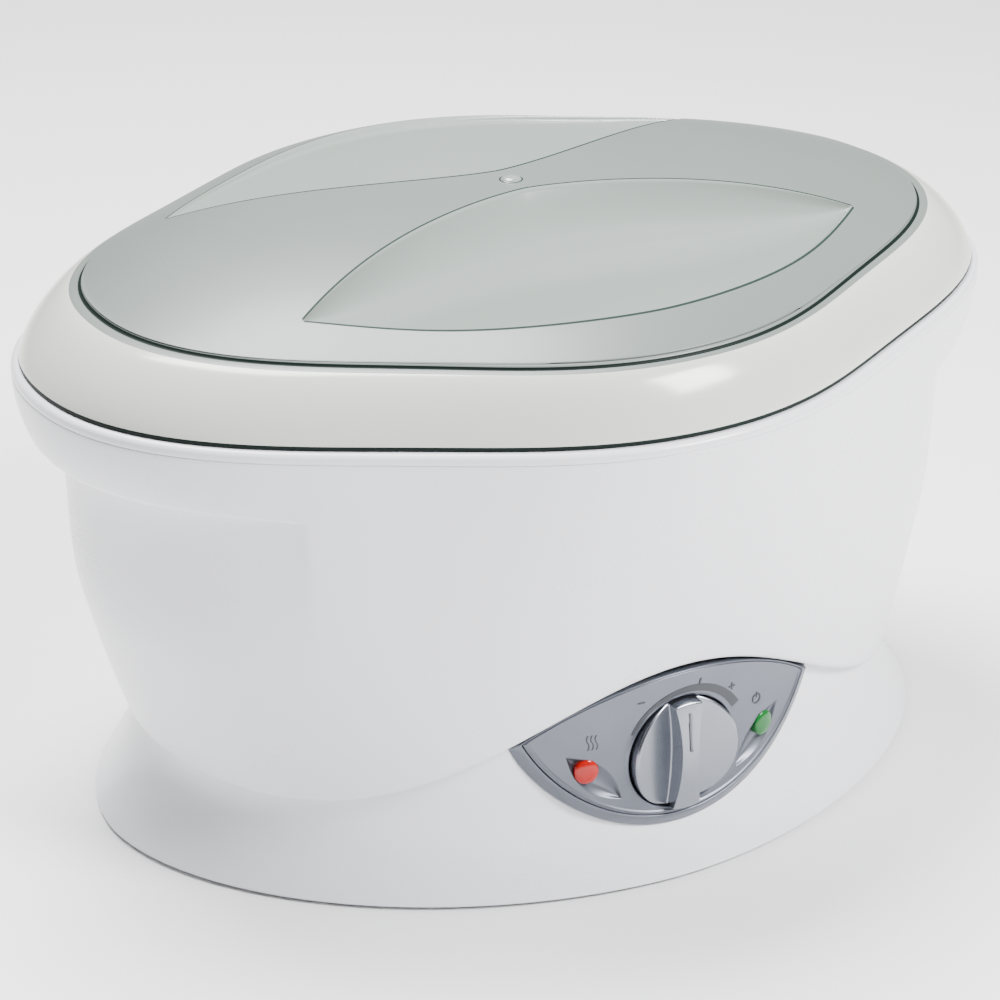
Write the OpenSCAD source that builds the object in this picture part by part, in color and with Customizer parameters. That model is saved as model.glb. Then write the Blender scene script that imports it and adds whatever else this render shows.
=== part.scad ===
// Paraffin wax bath: a heated tub in a white housing on a flared base,
// with a translucent lift-off lid and a dial on a silver front panel.
// Origin: middle of the standing surface. +X along the length, -Y is the front, +Z up.

/* [Overall] */
// Length over the rim ring
rim_l = 400; // [360:1:440]
// Width over the rim ring
rim_w = 305; // [280:1:330]
// Height of the seam between the housing and the rim ring
seam_z = 186; // [175:1:215]
// Height of the lid above the rim ring
lid_rise = 47.5; // [40:0.5:60]
// Wall of the moulded shells
wall = 2.6; // [2:0.1:3.2]
// Gap left between shells that slip over each other
slip = 0.5; // [0.3:0.05:0.7]

/* [Rim ring and lid] */
// Thickness of the rim ring
ring_h = 4; // [3:0.5:6]
// How far the rim ring reaches inwards
ring_reach = 28.5; // [26:0.5:32]
// How far the lid's edge stands inside the rim ring
lid_inset = 3; // [2:0.25:5]
// Gap under the lid's edge
lid_gap = 0.3; // [0.3:0.05:0.5]
// Wall of the lid
lid_wall = 2.2; // [1.8:0.1:2.8]
// Half of the width of the grip ridge at its middle
ridge_half = 11.5; // [9:0.5:16]
// Depth of the two finger hollows
hollow_depth = 17; // [12:0.5:20]
// Radius of the small button on the ridge
nub_r = 4; // [3:0.25:5]

/* [Housing] */
// Length of the housing at its lower edge
foot_l = 318; // [290:1:340]
// Width of the housing at its lower edge
foot_w = 264; // [240:1:284]
// Depth of the finger recess under each end grip
grip_depth = 11; // [8:0.5:13]
// Height of the grip band above its recess
grip_h = 24; // [20:0.5:28]

/* [Base] */
// Length of the base on the table
base_l = 354; // [330:1:380]
// Width of the base on the table
base_w = 274; // [255:1:300]
// Diameter of the rubber feet
foot_d = 20; // [14:0.5:24]
// Thickness of the bottom plate
plate_t = 2.5; // [2:0.25:3.5]

/* [Tub] */
// Length of the tub's floor
tub_floor_l = 280; // [250:1:300]
// Width of the tub's floor
tub_floor_w = 200; // [180:1:220]
// Height of the tub's underside
tub_z = 76; // [72:0.5:84]
// Wall of the aluminium tub
tub_wall = 1.6; // [1.2:0.1:2]
// Diameter of the heating tube
heater_d = 7; // [6:0.1:7.4]

/* [Control panel] */
// Radius of the panel's curve seen from above
panel_r = 150; // [130:1:200]
// Half of the length of the panel
panel_half = 66; // [60:0.5:70]
// Height of the panel's lowest point
panel_low = 22; // [19:0.5:26]
// Width of the bevelled border
border = 4.5; // [3:0.25:6]
// Width of the border along the panel's upper edge
border_high = 1.2; // [0.8:0.1:3]
// Height of the knob's axis
knob_z = 52; // [48:0.5:56]
// Radius of the knob
knob_r = 22.5; // [20:0.25:24]
// How far the knob's crest stands out from the panel
knob_out = 6.2; // [5:0.2:9]
// Depth of the well that the knob sits in
well_depth = 5; // [4:0.25:6]
// Half of the width of the knob's grip at its waist
grip_waist = 3.7; // [3:0.1:5]
// Radius of the thermostat shaft
shaft_r = 3; // [2.5:0.1:3.5]
// Radial play of the shaft in its bearing
shaft_play = 0.05; // [0.02:0.01:0.1]
// Radius of the signal lenses
lens_r = 5.2; // [4:0.1:6]

/* [Cord inlet] */
// Bore of the cord bush
cord_bore = 7.2; // [6:0.1:9]

/* [Hidden] */

segs = 72;
floor_gap = 1.5;
base_flare_h = 36;
ring_top = seam_z + ring_h;
ring_lip = 2;
lid_z = ring_top + lid_gap;
ledge_drop = 3;
ledge_t = 2.5;
lip_drop = 5;
flange_z = seam_z - ledge_drop;
grip_z = seam_z - grip_h;
nub_rise = 1.4;
axis_y = -foot_w / 2 + 0.5 + panel_r;
panel_t = 3.5;
lens_back = panel_t + 0.4;
panel_y = axis_y - panel_r;
panel_high = edge_z(90) - 2;
corner_z = edge_z(60) - 1.7;
plate_z = floor_gap + 1.5;
plate_top = plate_z + plate_t;
shield_z = tub_z - 10;
shield_t = 1;
post = [tub_floor_l * 0.257, tub_floor_w * 0.24];
post_r = 5.5;
stud_r = 2;
screw_play = 0.3;
nut_z = plate_z + 1;
nut_h = 3;
nut_across = 3.9;
foot_at = [base_l / 2 - 82, base_w / 2 - 60];
lamp_x = panel_half - 27;
lamp_z = knob_z - 0.5;
knob_gap = 0.6;
well_floor_t = 2;
well_r = knob_r + knob_gap;
well_wall = 1;
leaf_low = min(panel_low, knob_z - well_r - well_wall - border - 0.2);
knob_back = panel_y + well_depth - knob_gap;
knob_front = panel_y - knob_out;
shaft_in = 12;
shaft_grip = 8;
body_size = [30, 22, 30];
body_top = min(knob_z + body_size.z / 2, tub_z - 1);
body_y = panel_y + well_depth + well_floor_t + slip;
neck_r = 5;
nut_y = panel_y + well_depth;
nut_t = 1.6;
seat_drop = 0.6;
inlet_z = 20;
inlet_r = cord_bore / 2 + 2.9;

// Radius of an oval whose corners are set by the exponent n, in direction t.
function oval(a, b, n, t) =
    pow(pow(abs(cos(t)) / a, n) + pow(abs(sin(t)) / b, n), -1 / n);
// The rim outline: an oval waved a little, so that its flanks run nearly straight.
function wave(t) = 1 + 0.072 * cos(4 * t) + 0.005 * cos(6 * t);
function rim(t) = oval(rim_l / 2 / wave(0), rim_w / 2 / wave(90), 2.36, t) * wave(t);
// The housing's lower edge in plan.
function foot(t) = oval(foot_l / 2, foot_w / 2, 1.97, t);
// Height of the housing's lower edge: level all round, arched over the panel.
function edge_z(t) = 55.6 - 25.7 * cos(2 * min(max(t, 0), 180))
    + 7.45 * cos(4 * min(max(t, 0), 180));
// Front is the half with negative Y, where the arch angle runs from 0 to 180.
function arch(t) = sin(t) < 0 ? edge_z(360 - t) : edge_z(0);
// How much a direction belongs to an end grip: 1 at the ends, 0 beyond 34 degrees.
function grip_share(t) = let (d = acos(min(1, abs(cos(t))))) d > 34 ? 0 : pow(cos(d * 90 / 34), 0.7);
// Smooth step from 0 at a to 1 at b.
function ease(x, a, b) = let (u = min(1, max(0, (x - a) / (b - a)))) u * u * (3 - 2 * u);
// Housing wall without the grips: swells from the foot outline to the rim outline.
function skin(t, z) = foot(t) + (rim(t) - foot(t))
    * pow(max(0, (z - arch(t)) / (seam_z - arch(t))), 0.85);
// Outside of the housing: band sets the grip band, and below it the recess.
function outside(t, z, band) = band
    ? rim(t) * (1 - grip_share(t)) + grip_share(t) * (rim(t) - 6 * pow((seam_z - z) / grip_h, 2))
        - (1 - grip_share(t)) * (rim(t) - skin(t, z))
    : skin(t, z) - grip_depth * grip_share(t) * ease(z, grip_z - 70, grip_z);

// A ring of points at height z(t) and radius r(t) is one row of a skin.
function spot(t, r, z) = [r * cos(t), r * sin(t), z];
// Closed shell from rows of points, the last row joined to the first.
module ring_shell(rows) {
    n = len(rows);
    polyhedron(
        points = [for (row = rows) for (p = row) p],
        faces = [for (i = [0:n - 1]) for (j = [0:segs - 1])
            let (a = i * segs + j, b = i * segs + (j + 1) % segs,
                c = (i + 1) % n * segs + (j + 1) % segs, d = (i + 1) % n * segs + j)
            each [[a, b, c], [a, c, d]]]);
}
// Closed bowl or dome from rows of points, capped by a centre point at each end.
module capped_shell(rows, first, last) {
    n = len(rows);
    polyhedron(
        points = concat([for (row = rows) for (p = row) p], [first, last]),
        faces = concat(
            [for (i = [0:n - 2]) for (j = [0:segs - 1])
                let (a = i * segs + j, b = i * segs + (j + 1) % segs,
                    c = (i + 1) * segs + (j + 1) % segs, d = (i + 1) * segs + j)
                each [[a, b, c], [a, c, d]]],
            [for (j = [0:segs - 1]) [n * segs, (j + 1) % segs, j]],
            [for (j = [0:segs - 1]) [n * segs + 1, (n - 1) * segs + j, (n - 1) * segs + (j + 1) % segs]]));
}
function angles() = [for (j = [0:segs - 1]) j * 360 / segs];
// Row that follows the rim outline moved inwards by d, at one height.
function rim_row(d, z) = [for (t = angles()) spot(t, rim(t) - d, z)];
function oval_row(a, b, n, z) = [for (t = angles()) spot(t, oval(a, b, n, t), z)];

// ---- Lid ----
lid_step = 17;
dome_rise = 21;
dome_z = ring_top + lid_rise - dome_rise;
// The step runs further inside the rim at the two ends, so the shoulder is wider there.
step_end = 10;
function step_in(t) = lid_step + step_end * pow(cos(t), 4);
function dome(x, y) = let (t = atan2(y, x), u = norm([x, y]) / (rim(t) - step_in(t) - 2))
    dome_z + dome_rise * (1 - pow(min(1, u), 3));
// Finger hollow: a leaf between the ridge curve and the outer curve, steep on the ridge side.
leaf_x = rim_l * 0.295;
function ridge_y(x) = ridge_half + rim_w * 0.154 * pow(abs(x) / leaf_x, 1.5);
function leaf_y(x) = rim_w * 0.37 - (rim_w * 0.216 - ridge_half) * pow(abs(x) / leaf_x, 1.9);
function hollow(x, y) = abs(x) >= leaf_x ? 0 :
    let (v = (abs(y) - ridge_y(x)) / (leaf_y(x) - ridge_y(x)))
    v <= 0 || v >= 1 ? 0 :
    hollow_depth * pow(1 - pow(x / leaf_x, 2), 0.8)
        * (v < 0.35 ? ease(v, 0, 0.35) : 1 - ease(v, 0.35, 1.15) * 1.05);
function lid_top(x, y) = dome(x, y) - max(0, hollow(x, y));
function lid_row(u, down) = [for (t = angles())
    let (r = (rim(t) - step_in(t) - 2) * u, p = [r * cos(t), r * sin(t)]) [p.x, p.y, lid_top(p.x, p.y) - down]];
lid_steps = [0.97, 0.9, 0.82, 0.74, 0.66, 0.58, 0.5, 0.42, 0.34, 0.26, 0.18, 0.12, 0.075];
// Shoulder row: an inward shift of d, stretched so that lid_step lands on the step.
function shoulder_row(d, z) = [for (t = angles())
    spot(t, rim(t) - lid_inset - (d - lid_inset) * (step_in(t) - lid_inset) / (lid_step - lid_inset), z)];
function nub_row(r, z) = [for (t = angles()) spot(t, r, z)];
module lid() {
    top = dome(0, 0);
    color([0.72, 0.76, 0.74, 0.8])
    capped_shell(concat(
        [for (i = [len(lid_steps) - 1:-1:0]) lid_row(lid_steps[i], lid_wall)],
        [shoulder_row(lid_step + 1, dome_z - lid_wall),
            shoulder_row(14, dome_z - 6.7), shoulder_row(10.5, dome_z - 10.2), shoulder_row(8, ring_top + 11),
            shoulder_row(6.3, ring_top + 5), rim_row(lid_inset + lid_wall, lid_z),
            rim_row(lid_inset, lid_z), rim_row(lid_inset, lid_z + 1.8),
            shoulder_row(lid_inset + 0.9, ring_top + 6.5), shoulder_row(lid_inset + 3, ring_top + 12),
            shoulder_row(lid_inset + 6, dome_z - 9.5), shoulder_row(lid_inset + 9, dome_z - 5.7),
            shoulder_row(lid_step - 3, dome_z - 3.6), shoulder_row(lid_step, dome_z - 1.9),
            shoulder_row(lid_step + 0.5, dome_z - 0.2)],
        [for (u = lid_steps) lid_row(u, 0)],
        [nub_row(nub_r, top), nub_row(nub_r * 0.8, top + nub_rise * 0.75),
            nub_row(nub_r * 0.4, top + nub_rise)]),
        [0, 0, top - lid_wall], [0, 0, top + nub_rise + 0.1]);
}

// ---- Rim ring, housing, tub ----
module rim_ring() {
    color("white")
    ring_shell([rim_row(0, seam_z), rim_row(0, seam_z + 1.4), rim_row(1, seam_z + 2.8), rim_row(2.6, ring_top),
        rim_row(ring_reach, ring_top), rim_row(ring_reach, seam_z - lip_drop),
        rim_row(ring_reach - ring_lip, seam_z - lip_drop),
        rim_row(ring_reach - ring_lip, seam_z)]);
}
module housing() {
    grow = function (t, z, band) spot(t, outside(t, z, band), z);
    shrink = function (t, z, band) spot(t, outside(t, z, band) - wall, z);
    low = [0, 0.06, 0.2, 0.4, 0.6, 0.8, 1];
    knee = grip_z - 22;
    in_top = flange_z - ledge_t;
    height = function (t, f) arch(t) + f * (knee - arch(t));
    color("white")
    ring_shell(concat(
        [for (f = low) [for (t = angles()) grow(t, height(t, f), false)]],
        [for (z = [grip_z - 10, grip_z - 2]) [for (t = angles()) grow(t, z, false)]],
        [for (z = [grip_z, grip_z + 4, grip_z + 11, seam_z - 5, seam_z]) [for (t = angles()) grow(t, z, true)]],
        [for (z = [seam_z, flange_z]) [for (t = angles()) shrink(t, z, true)]],
        [rim_row(wall + 9, flange_z), rim_row(wall + 9, in_top)],
        [for (z = [in_top, grip_z + 11, grip_z + wall]) [for (t = angles()) shrink(t, z, true)]],
        [for (z = [grip_z - 1, grip_z - 10]) [for (t = angles()) shrink(t, z, false)]],
        [for (i = [len(low) - 1:-1:0]) [for (t = angles()) shrink(t, height(t, low[i]), false)]]));
}
module tub() {
    fa = tub_floor_l / 2;
    fb = tub_floor_w / 2;
    top_wall = ring_reach - ring_lip - tub_wall - slip - 1;
    beside_lip = seam_z - lip_drop - 1;
    flange_row = function (z) [for (t = angles()) spot(t, outside(t, flange_z, true) - wall - slip, z)];
    side = function (f, d, z) [for (t = angles())
        spot(t, (rim(t) - top_wall) * f + oval(fa + 7, fb + 7, 2.1, t) * (1 - f) - d, z)];
    color([0.55, 0.56, 0.58])
    capped_shell([oval_row(fa - 12, fb - 12, 2.1, tub_z), oval_row(fa, fb, 2.1, tub_z),
        oval_row(fa + 5, fb + 5, 2.1, tub_z + 2), side(0, 0, tub_z + 8),
        side(0.5, 0, (tub_z + 8 + flange_z) / 2),
        side(1, 0, beside_lip), side(1, 0, flange_z),
        flange_row(flange_z), flange_row(flange_z + tub_wall),
        side(1, tub_wall, flange_z + tub_wall), side(1, tub_wall, beside_lip),
        side(0.5, tub_wall, (tub_z + 8 + flange_z) / 2), side(0, tub_wall, tub_z + 8 + tub_wall),
        oval_row(fa + 4, fb + 4, 2.1, tub_z + 2 + tub_wall), oval_row(fa - 1, fb - 1, 2.1, tub_z + tub_wall),
        oval_row(fa - 12, fb - 12, 2.1, tub_z + tub_wall)],
        [0, 0, tub_z], [0, 0, tub_z + tub_wall]);
}
function rim_points(d) = [for (t = angles()) let (r = rim(t) - d) [r * cos(t), r * sin(t)]];
function oval_points(a, b, n) = [for (t = angles()) let (r = oval(a, b, n, t)) [r * cos(t), r * sin(t)]];
module tub_gasket() {
    color([0.85, 0.85, 0.82])
    translate([0, 0, flange_z + tub_wall])
    linear_extrude(ledge_drop - tub_wall)
    difference() {
        polygon(rim_points(wall + 1));
        polygon(rim_points(wall + 9));
    }
}
// Slatted grate that keeps the hands off the hot floor of the tub.
module grate() {
    a = tub_floor_l / 2 - 16;
    b = tub_floor_w / 2 - 14;
    z = tub_z + tub_wall + 0.3;
    feet_h = 7;
    rows = 7;
    color([0.9, 0.9, 0.88]) {
        translate([0, 0, z + feet_h])
        linear_extrude(3)
        difference() {
            polygon(oval_points(a, b, 2.1));
            for (i = [-rows:rows])
                for (s = [-1, 1])
                    translate([i * 16, s * (b * sqrt(1 - pow(i * 16 / a, 2)) / 2 + 1)])
                    square([9, b * sqrt(1 - pow(i * 16 / a, 2)) - 14], center = true);
        }
        for (x = [-1, 1])
            for (y = [-1, 1])
                translate([x * a * 0.56, y * 4, z])
                cylinder(h = feet_h, r = 3.5);
    }
}

// ---- Base ----
module leaf_outline(grow, grow_high = undef) {
    high_grow = is_undef(grow_high) ? grow : grow_high;
    chord = panel_half;
    low_r = (pow(chord, 2) + pow(corner_z - leaf_low, 2)) / (2 * (corner_z - leaf_low));
    high_r = (pow(chord, 2) + pow(panel_high - corner_z, 2)) / (2 * (panel_high - corner_z));
    intersection() {
        translate([0, leaf_low + low_r]) circle(r = low_r + grow, $fn = 128);
        translate([0, panel_high - high_r]) circle(r = high_r + high_grow, $fn = 128);
    }
}
// Extrudes a front-view outline through the panel region.
module through_front(depth) {
    translate([0, panel_y + depth, 0])
    rotate([90, 0, 0])
    linear_extrude(depth + 20)
    children();
}
// Upright slice of the panel's curve between two radii.
module panel_slice(r_in, r_out) {
    translate([0, axis_y, 0])
    difference() {
        cylinder(h = 120, r = r_out, $fn = 180);
        translate([0, 0, -1]) cylinder(h = 122, r = r_in, $fn = 180);
    }
}
// The base flares from a neck that slips into the housing to its outline on the table.
neck_a = foot_l / 2 - wall - slip;
neck_b = foot_w / 2 - wall - slip - 2;
function neck_share(z) = 1 - pow(1 - min(1, (z - floor_gap) / base_flare_h), 1.7);
function base_r(t, z) = oval(base_l / 2, base_w / 2, 1.85, t) * (1 - neck_share(z))
    + oval(neck_a, neck_b, 1.97, t) * neck_share(z);
module base() {
    tuck = 6;
    z_at = function (t, f) floor_gap + 1.4 + f * (arch(t) + tuck - floor_gap - 1.4);
    rise = [0, 0.12, 0.28, 0.46, 0.66, 0.84, 1];
    out = function (t, z) spot(t, base_r(t, z), z);
    in = function (t, z) spot(t, base_r(t, z) - wall, z);
    color("white")
    difference() {
        ring_shell(concat(
            [[for (t = angles()) out(t, floor_gap)]],
            [for (f = rise) [for (t = angles()) out(t, z_at(t, f))]],
            [for (i = [len(rise) - 1:-1:0]) [for (t = angles()) in(t, z_at(t, rise[i]))]],
            [[for (t = angles()) in(t, floor_gap)]]));
        translate([0, panel_y + 30, 0])
        rotate([90, 0, 0])
        linear_extrude(50)
        leaf_outline(0.3);
        translate([0, base_w / 2 + 10, inlet_z])
        rotate([90, 0, 0])
        cylinder(h = 60, r = inlet_r);
    }
}
module base_plate() {
    inside = [for (t = angles()) let (r = base_r(t, plate_top) - wall - slip) [r * cos(t), r * sin(t)]];
    color([0.8, 0.8, 0.8])
    difference() {
        union() {
            translate([0, 0, plate_z])
            linear_extrude(plate_t)
            difference() {
                polygon(inside);
                for (i = [-4:4])
                    translate([i * 9, 0])
                    square([4, 44], center = true);
            }
            for (x = [-1, 1])
                for (y = [-1, 1])
                    translate([x * post.x, y * post.y, plate_top])
                    cylinder(h = shield_z - plate_top, r = post_r);
            for (x = [-1, 1])
                translate([x * 14, base_w / 2 - 34, plate_top])
                cylinder(h = inlet_z - 4 - plate_top, r = 4);
        }
        for (x = [-1, 1])
            for (y = [-1, 1]) {
                translate([x * post.x, y * post.y, -1])
                cylinder(h = shield_z + 2, r = stud_r + screw_play);
                translate([x * post.x, y * post.y, -1])
                cylinder(h = nut_z + nut_h + 1, r = nut_across + screw_play);
                translate([x * foot_at.x, y * foot_at.y, -1])
                cylinder(h = 20, r = 1.8);
            }
        for (x = [-1, 1])
            translate([x * 14, base_w / 2 - 34, -1])
            cylinder(h = 40, r = 1.6);
    }
}
module feet() {
    color([0.2, 0.2, 0.2])
    for (x = [-1, 1])
        for (y = [-1, 1])
            translate([x * foot_at.x, y * foot_at.y, 0])
            difference() {
                cylinder(h = plate_z, r1 = foot_d / 2 - 1, r2 = foot_d / 2);
                translate([0, 0, -1]) cylinder(h = 2.4, r = 4);
                translate([0, 0, -1]) cylinder(h = 8, r = 1.8);
            }
}
module screw_up(r, head_r, head_h, length) {
    cylinder(h = head_h, r = head_r);
    translate([0, 0, head_h]) cylinder(h = length, r = r);
}
module foot_screws() {
    color("silver")
    for (x = [-1, 1])
        for (y = [-1, 1])
            translate([x * foot_at.x, y * foot_at.y, 0.2])
            screw_up(1.5, 3.4, 1.2, 8);
}
module tub_studs() {
    color("silver")
    for (x = [-1, 1])
        for (y = [-1, 1])
            translate([x * post.x, y * post.y, plate_z + 1.5])
            cylinder(h = tub_z - plate_z - 1.5, r = stud_r);
}
module stud_nuts() {
    color("silver")
    for (x = [-1, 1])
        for (y = [-1, 1])
            translate([x * post.x, y * post.y, nut_z])
            difference() {
                cylinder(h = nut_h, r = nut_across, $fn = 6);
                translate([0, 0, -1]) cylinder(h = nut_h + 2, r = stud_r);
            }
}

// ---- Heating ----
heater_ring = tub_floor_w / 2 - 30;
heater_z = tub_z - heater_d / 2 - 0.2;
module heat_shield() {
    color([0.8, 0.8, 0.82])
    translate([0, 0, shield_z])
    linear_extrude(shield_t)
    difference() {
        polygon(oval_points(tub_floor_l / 2 - 20, tub_floor_w / 2 - 14, 2));
        for (x = [-1, 1])
            for (y = [-1, 1])
                translate([x * post.x, y * post.y])
                circle(r = stud_r + screw_play);
        translate([0, -heater_ring + 1]) square([48, 16], center = true);
    }
}
module heater_element() {
    start = -75;
    end = 255;
    color([0.35, 0.35, 0.37]) {
        translate([0, 0, heater_z])
        rotate([0, 0, start])
        rotate_extrude(angle = end - start)
        translate([heater_ring, 0])
        circle(d = heater_d);
        for (t = [start, end])
            translate([heater_ring * cos(t), heater_ring * sin(t), heater_z - 20])
            cylinder(h = 20, d = heater_d - 2);
    }
}
module heater_clamps() {
    color("silver")
    for (t = [0, 90, 180])
        rotate([0, 0, t])
        translate([heater_ring, 0, shield_z + shield_t])
        translate([-8, -6, 0])
        difference() {
            cube([16, 12, tub_z - shield_z - shield_t - 0.2]);
            translate([8, -1, heater_z - shield_z - shield_t])
            rotate([-90, 0, 0])
            cylinder(h = 14, d = heater_d + 1.2);
        }
}
module sensor_bulb() {
    color([0.75, 0.5, 0.3])
    translate([-30, -34, tub_z - 3.2])
    rotate([0, 90, 0])
    cylinder(h = 60, r = 2.8);
}
module thermal_fuse() {
    color([0.85, 0.82, 0.7])
    translate([-16, 14, tub_z - 5])
    cube([32, 12, 4.8]);
}

// ---- Control panel ----
// Places its children on the panel's face at a lamp, with +Z pointing out of the face.
module at_lamp(side) {
    translate([0, axis_y, 0])
    rotate([0, 0, side * asin(lamp_x / panel_r)])
    translate([0, -panel_r, lamp_z])
    rotate([90, 0, 0])
    children();
}
module control_panel() {
    color([0.75, 0.77, 0.8])
    difference() {
        union() {
            intersection() {
                panel_slice(panel_r - panel_t, panel_r);
                through_front(40) leaf_outline(-border - 0.2, -border_high - 0.2);
            }
            translate([0, panel_y + well_depth + well_floor_t, knob_z])
            rotate([90, 0, 0])
            cylinder(h = well_depth + well_floor_t - seat_drop, r = well_r + well_wall);
        }
        translate([0, panel_y + well_depth, knob_z])
        rotate([90, 0, 0])
        cylinder(h = 20, r = well_r);
        translate([0, panel_y, knob_z])
        rotate([90, 0, 0])
        cylinder(h = 40, r = neck_r + 0.2, center = true);
        for (side = [-1, 1])
            at_lamp(side)
            translate([0, 0, -10])
            cylinder(h = 20, r = lens_r + 0.1);
    }
}
module panel_frame() {
    color([0.7, 0.72, 0.76])
    intersection() {
        panel_slice(panel_r - panel_t, panel_r);
        difference() {
            through_front(40) leaf_outline(0);
            translate([0, 5, 0])
            through_front(50) leaf_outline(-border, -border_high);
        }
    }
}
module on_panel(depth) {
    intersection() {
        panel_slice(panel_r + 0.01, panel_r + 0.01 + depth);
        through_front(40) children();
    }
}
// Temperature scale: an arc that widens from cool to hot, with one tick and a minus and a plus sign.
module dial_scale() {
    scale_r = knob_r + 1.8;
    sweep = 61;
    steps = 24;
    sign_r = scale_r + 6.4;
    at = function (d, r) [r * sin(d), knob_z + r * cos(d)];
    span = [for (i = [0:steps]) -sweep + 2 * sweep * i / steps];
    inner = function (i) scale_r + 1.2 * i / steps;
    color([0.4, 0.42, 0.45])
    on_panel(0.2)
    union() {
        polygon(concat([for (i = [0:steps]) at(span[i], inner(i))],
            [for (i = [steps:-1:0]) at(span[i], inner(i) + 0.9 + 2.9 * i / steps)]));
        translate([0, knob_z])
        rotate(-14)
        translate([-0.4, scale_r + 0.7])
        square([0.8, 5.2]);
        translate(at(-36, sign_r)) square([3, 0.6], center = true);
        translate(at(46, sign_r)) {
            square([3, 0.6], center = true);
            square([0.6, 3], center = true);
        }
    }
}
// Heat waves over the red lamp, power sign over the green lamp.
module panel_icons() {
    wave_r = 2.6;
    wave_shift = sqrt(pow(wave_r, 2) - pow(1.5, 2));
    color([0.4, 0.42, 0.45])
    on_panel(0.2)
    union() {
        for (i = [-1:1])
            for (s = [-1, 1])
                translate([-lamp_x + 2 + i * 1.6 + s * wave_shift, lamp_z + 12 + s * 1.5])
                intersection() {
                    difference() {
                        circle(r = wave_r + 0.2);
                        circle(r = wave_r - 0.2);
                    }
                    translate([-s * wave_r, 0]) square([2, 3.05], center = true);
                }
        translate([lamp_x - 4, lamp_z + 12]) {
            difference() {
                circle(r = 2.2);
                circle(r = 1.6);
                translate([0, 2]) square([1.6, 3], center = true);
            }
            translate([0, 1.6]) square([0.6, 2.4], center = true);
        }
    }
}
// Low domed knob: two scoops with sloping floors leave a waisted grip between them.
module knob() {
    color([0.78, 0.8, 0.83])
    difference() {
        knob_body();
        pointer_strip(3);
    }
}
module knob_body() {
    dome_r = 100;
    hollow_r = 108;
    side_drop = 2;
    scoop_depth = knob_out + 1.9;
    height = knob_back - knob_front;
    scoop_z = height - scoop_depth;
    translate([0, knob_back, knob_z])
    rotate([90, 0, 0])
    difference() {
        intersection() {
            cylinder(h = height, r = knob_r);
            translate([0, 0, height - dome_r]) sphere(r = dome_r, $fn = 96);
        }
        for (s = [-1, 1])
            intersection() {
                translate([s * (hollow_r + grip_waist), 0, 0]) cylinder(h = height + 1, r = hollow_r);
                rotate([90, 0, 0])
                linear_extrude(2 * knob_r + 2, center = true)
                polygon([[0, scoop_z], [s * grip_waist, scoop_z], [s * knob_r, height - side_drop],
                    [s * (knob_r + 1), height + 1], [0, height + 1]]);
            }
        translate([0, 0, -1]) cylinder(h = well_depth - knob_gap - 3.2 + 1, r = 9.5);
        translate([0, 0, -1]) cylinder(h = shaft_grip + 1, r = shaft_r);
    }
}
// Pointer line near the upper end of the grip: a strip pressed into a groove of its crest.
module pointer_strip(proud) {
    width = 0.8;
    thick = 0.8;
    low = 3;
    high = knob_r - 4;
    drop = function (z) knob_front + z * z / 200;
    translate([-width / 2, 0, knob_z])
    rotate([90, 0, 90])
    linear_extrude(width)
    polygon([[drop(low) - proud, low], [drop(high) - proud, high], [drop(high) + thick, high],
        [drop(low) + thick, low]]);
}
module knob_pointer() {
    color([0.95, 0.95, 0.95])
    pointer_strip(0);
}
module thermostat_shaft() {
    color("silver")
    translate([0, body_y + shaft_in, knob_z])
    rotate([90, 0, 0])
    cylinder(h = body_y + shaft_in - knob_back + shaft_grip, r = shaft_r);
}
module thermostat_body() {
    color([0.9, 0.88, 0.82])
    difference() {
        union() {
            translate([-body_size.x / 2, body_y, body_top - body_size.z]) cube(body_size);
            translate([0, body_y, knob_z])
            rotate([90, 0, 0])
            cylinder(h = body_y - nut_y + nut_t, r = neck_r);
        }
        translate([0, body_y + shaft_in + 0.2, knob_z])
        rotate([90, 0, 0])
        cylinder(h = 40, r = shaft_r + shaft_play);
    }
}
module thermostat_nut() {
    color("silver")
    translate([0, nut_y, knob_z])
    rotate([90, 0, 0])
    difference() {
        cylinder(h = nut_t, r = 7.8, $fn = 6);
        translate([0, 0, -1]) cylinder(h = 6, r = neck_r);
    }
}
module lens(side) {
    collar = 1.5;
    at_lamp(side) {
        translate([0, 0, -lens_back]) cylinder(h = lens_back, r = lens_r);
        translate([0, 0, -lens_back - collar]) cylinder(h = collar, r = lens_r + 1.2);
        rotate_extrude()
        intersection() {
            translate([0, -6]) circle(r = norm([lens_r, 6]), $fn = 96);
            square([lens_r, 4]);
        }
    }
}
module red_lamp_lens() {
    color([0.85, 0.15, 0.1]) lens(-1);
}
module green_lamp_lens() {
    color([0.2, 0.65, 0.3]) lens(1);
}
module signal_lamps() {
    color([0.95, 0.6, 0.4])
    for (s = [-1, 1])
        at_lamp(s)
        translate([0, 0, -lens_back - 10.5])
        cylinder(h = 9, r = 3);
}
module lamp_holder() {
    color([0.85, 0.85, 0.85])
    for (s = [-1, 1])
        at_lamp(s)
        translate([0, 0, -lens_back - 11.5])
        difference() {
            cylinder(h = 10, r = 5);
            translate([0, 0, -1]) cylinder(h = 12, r = 3);
        }
}

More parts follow.
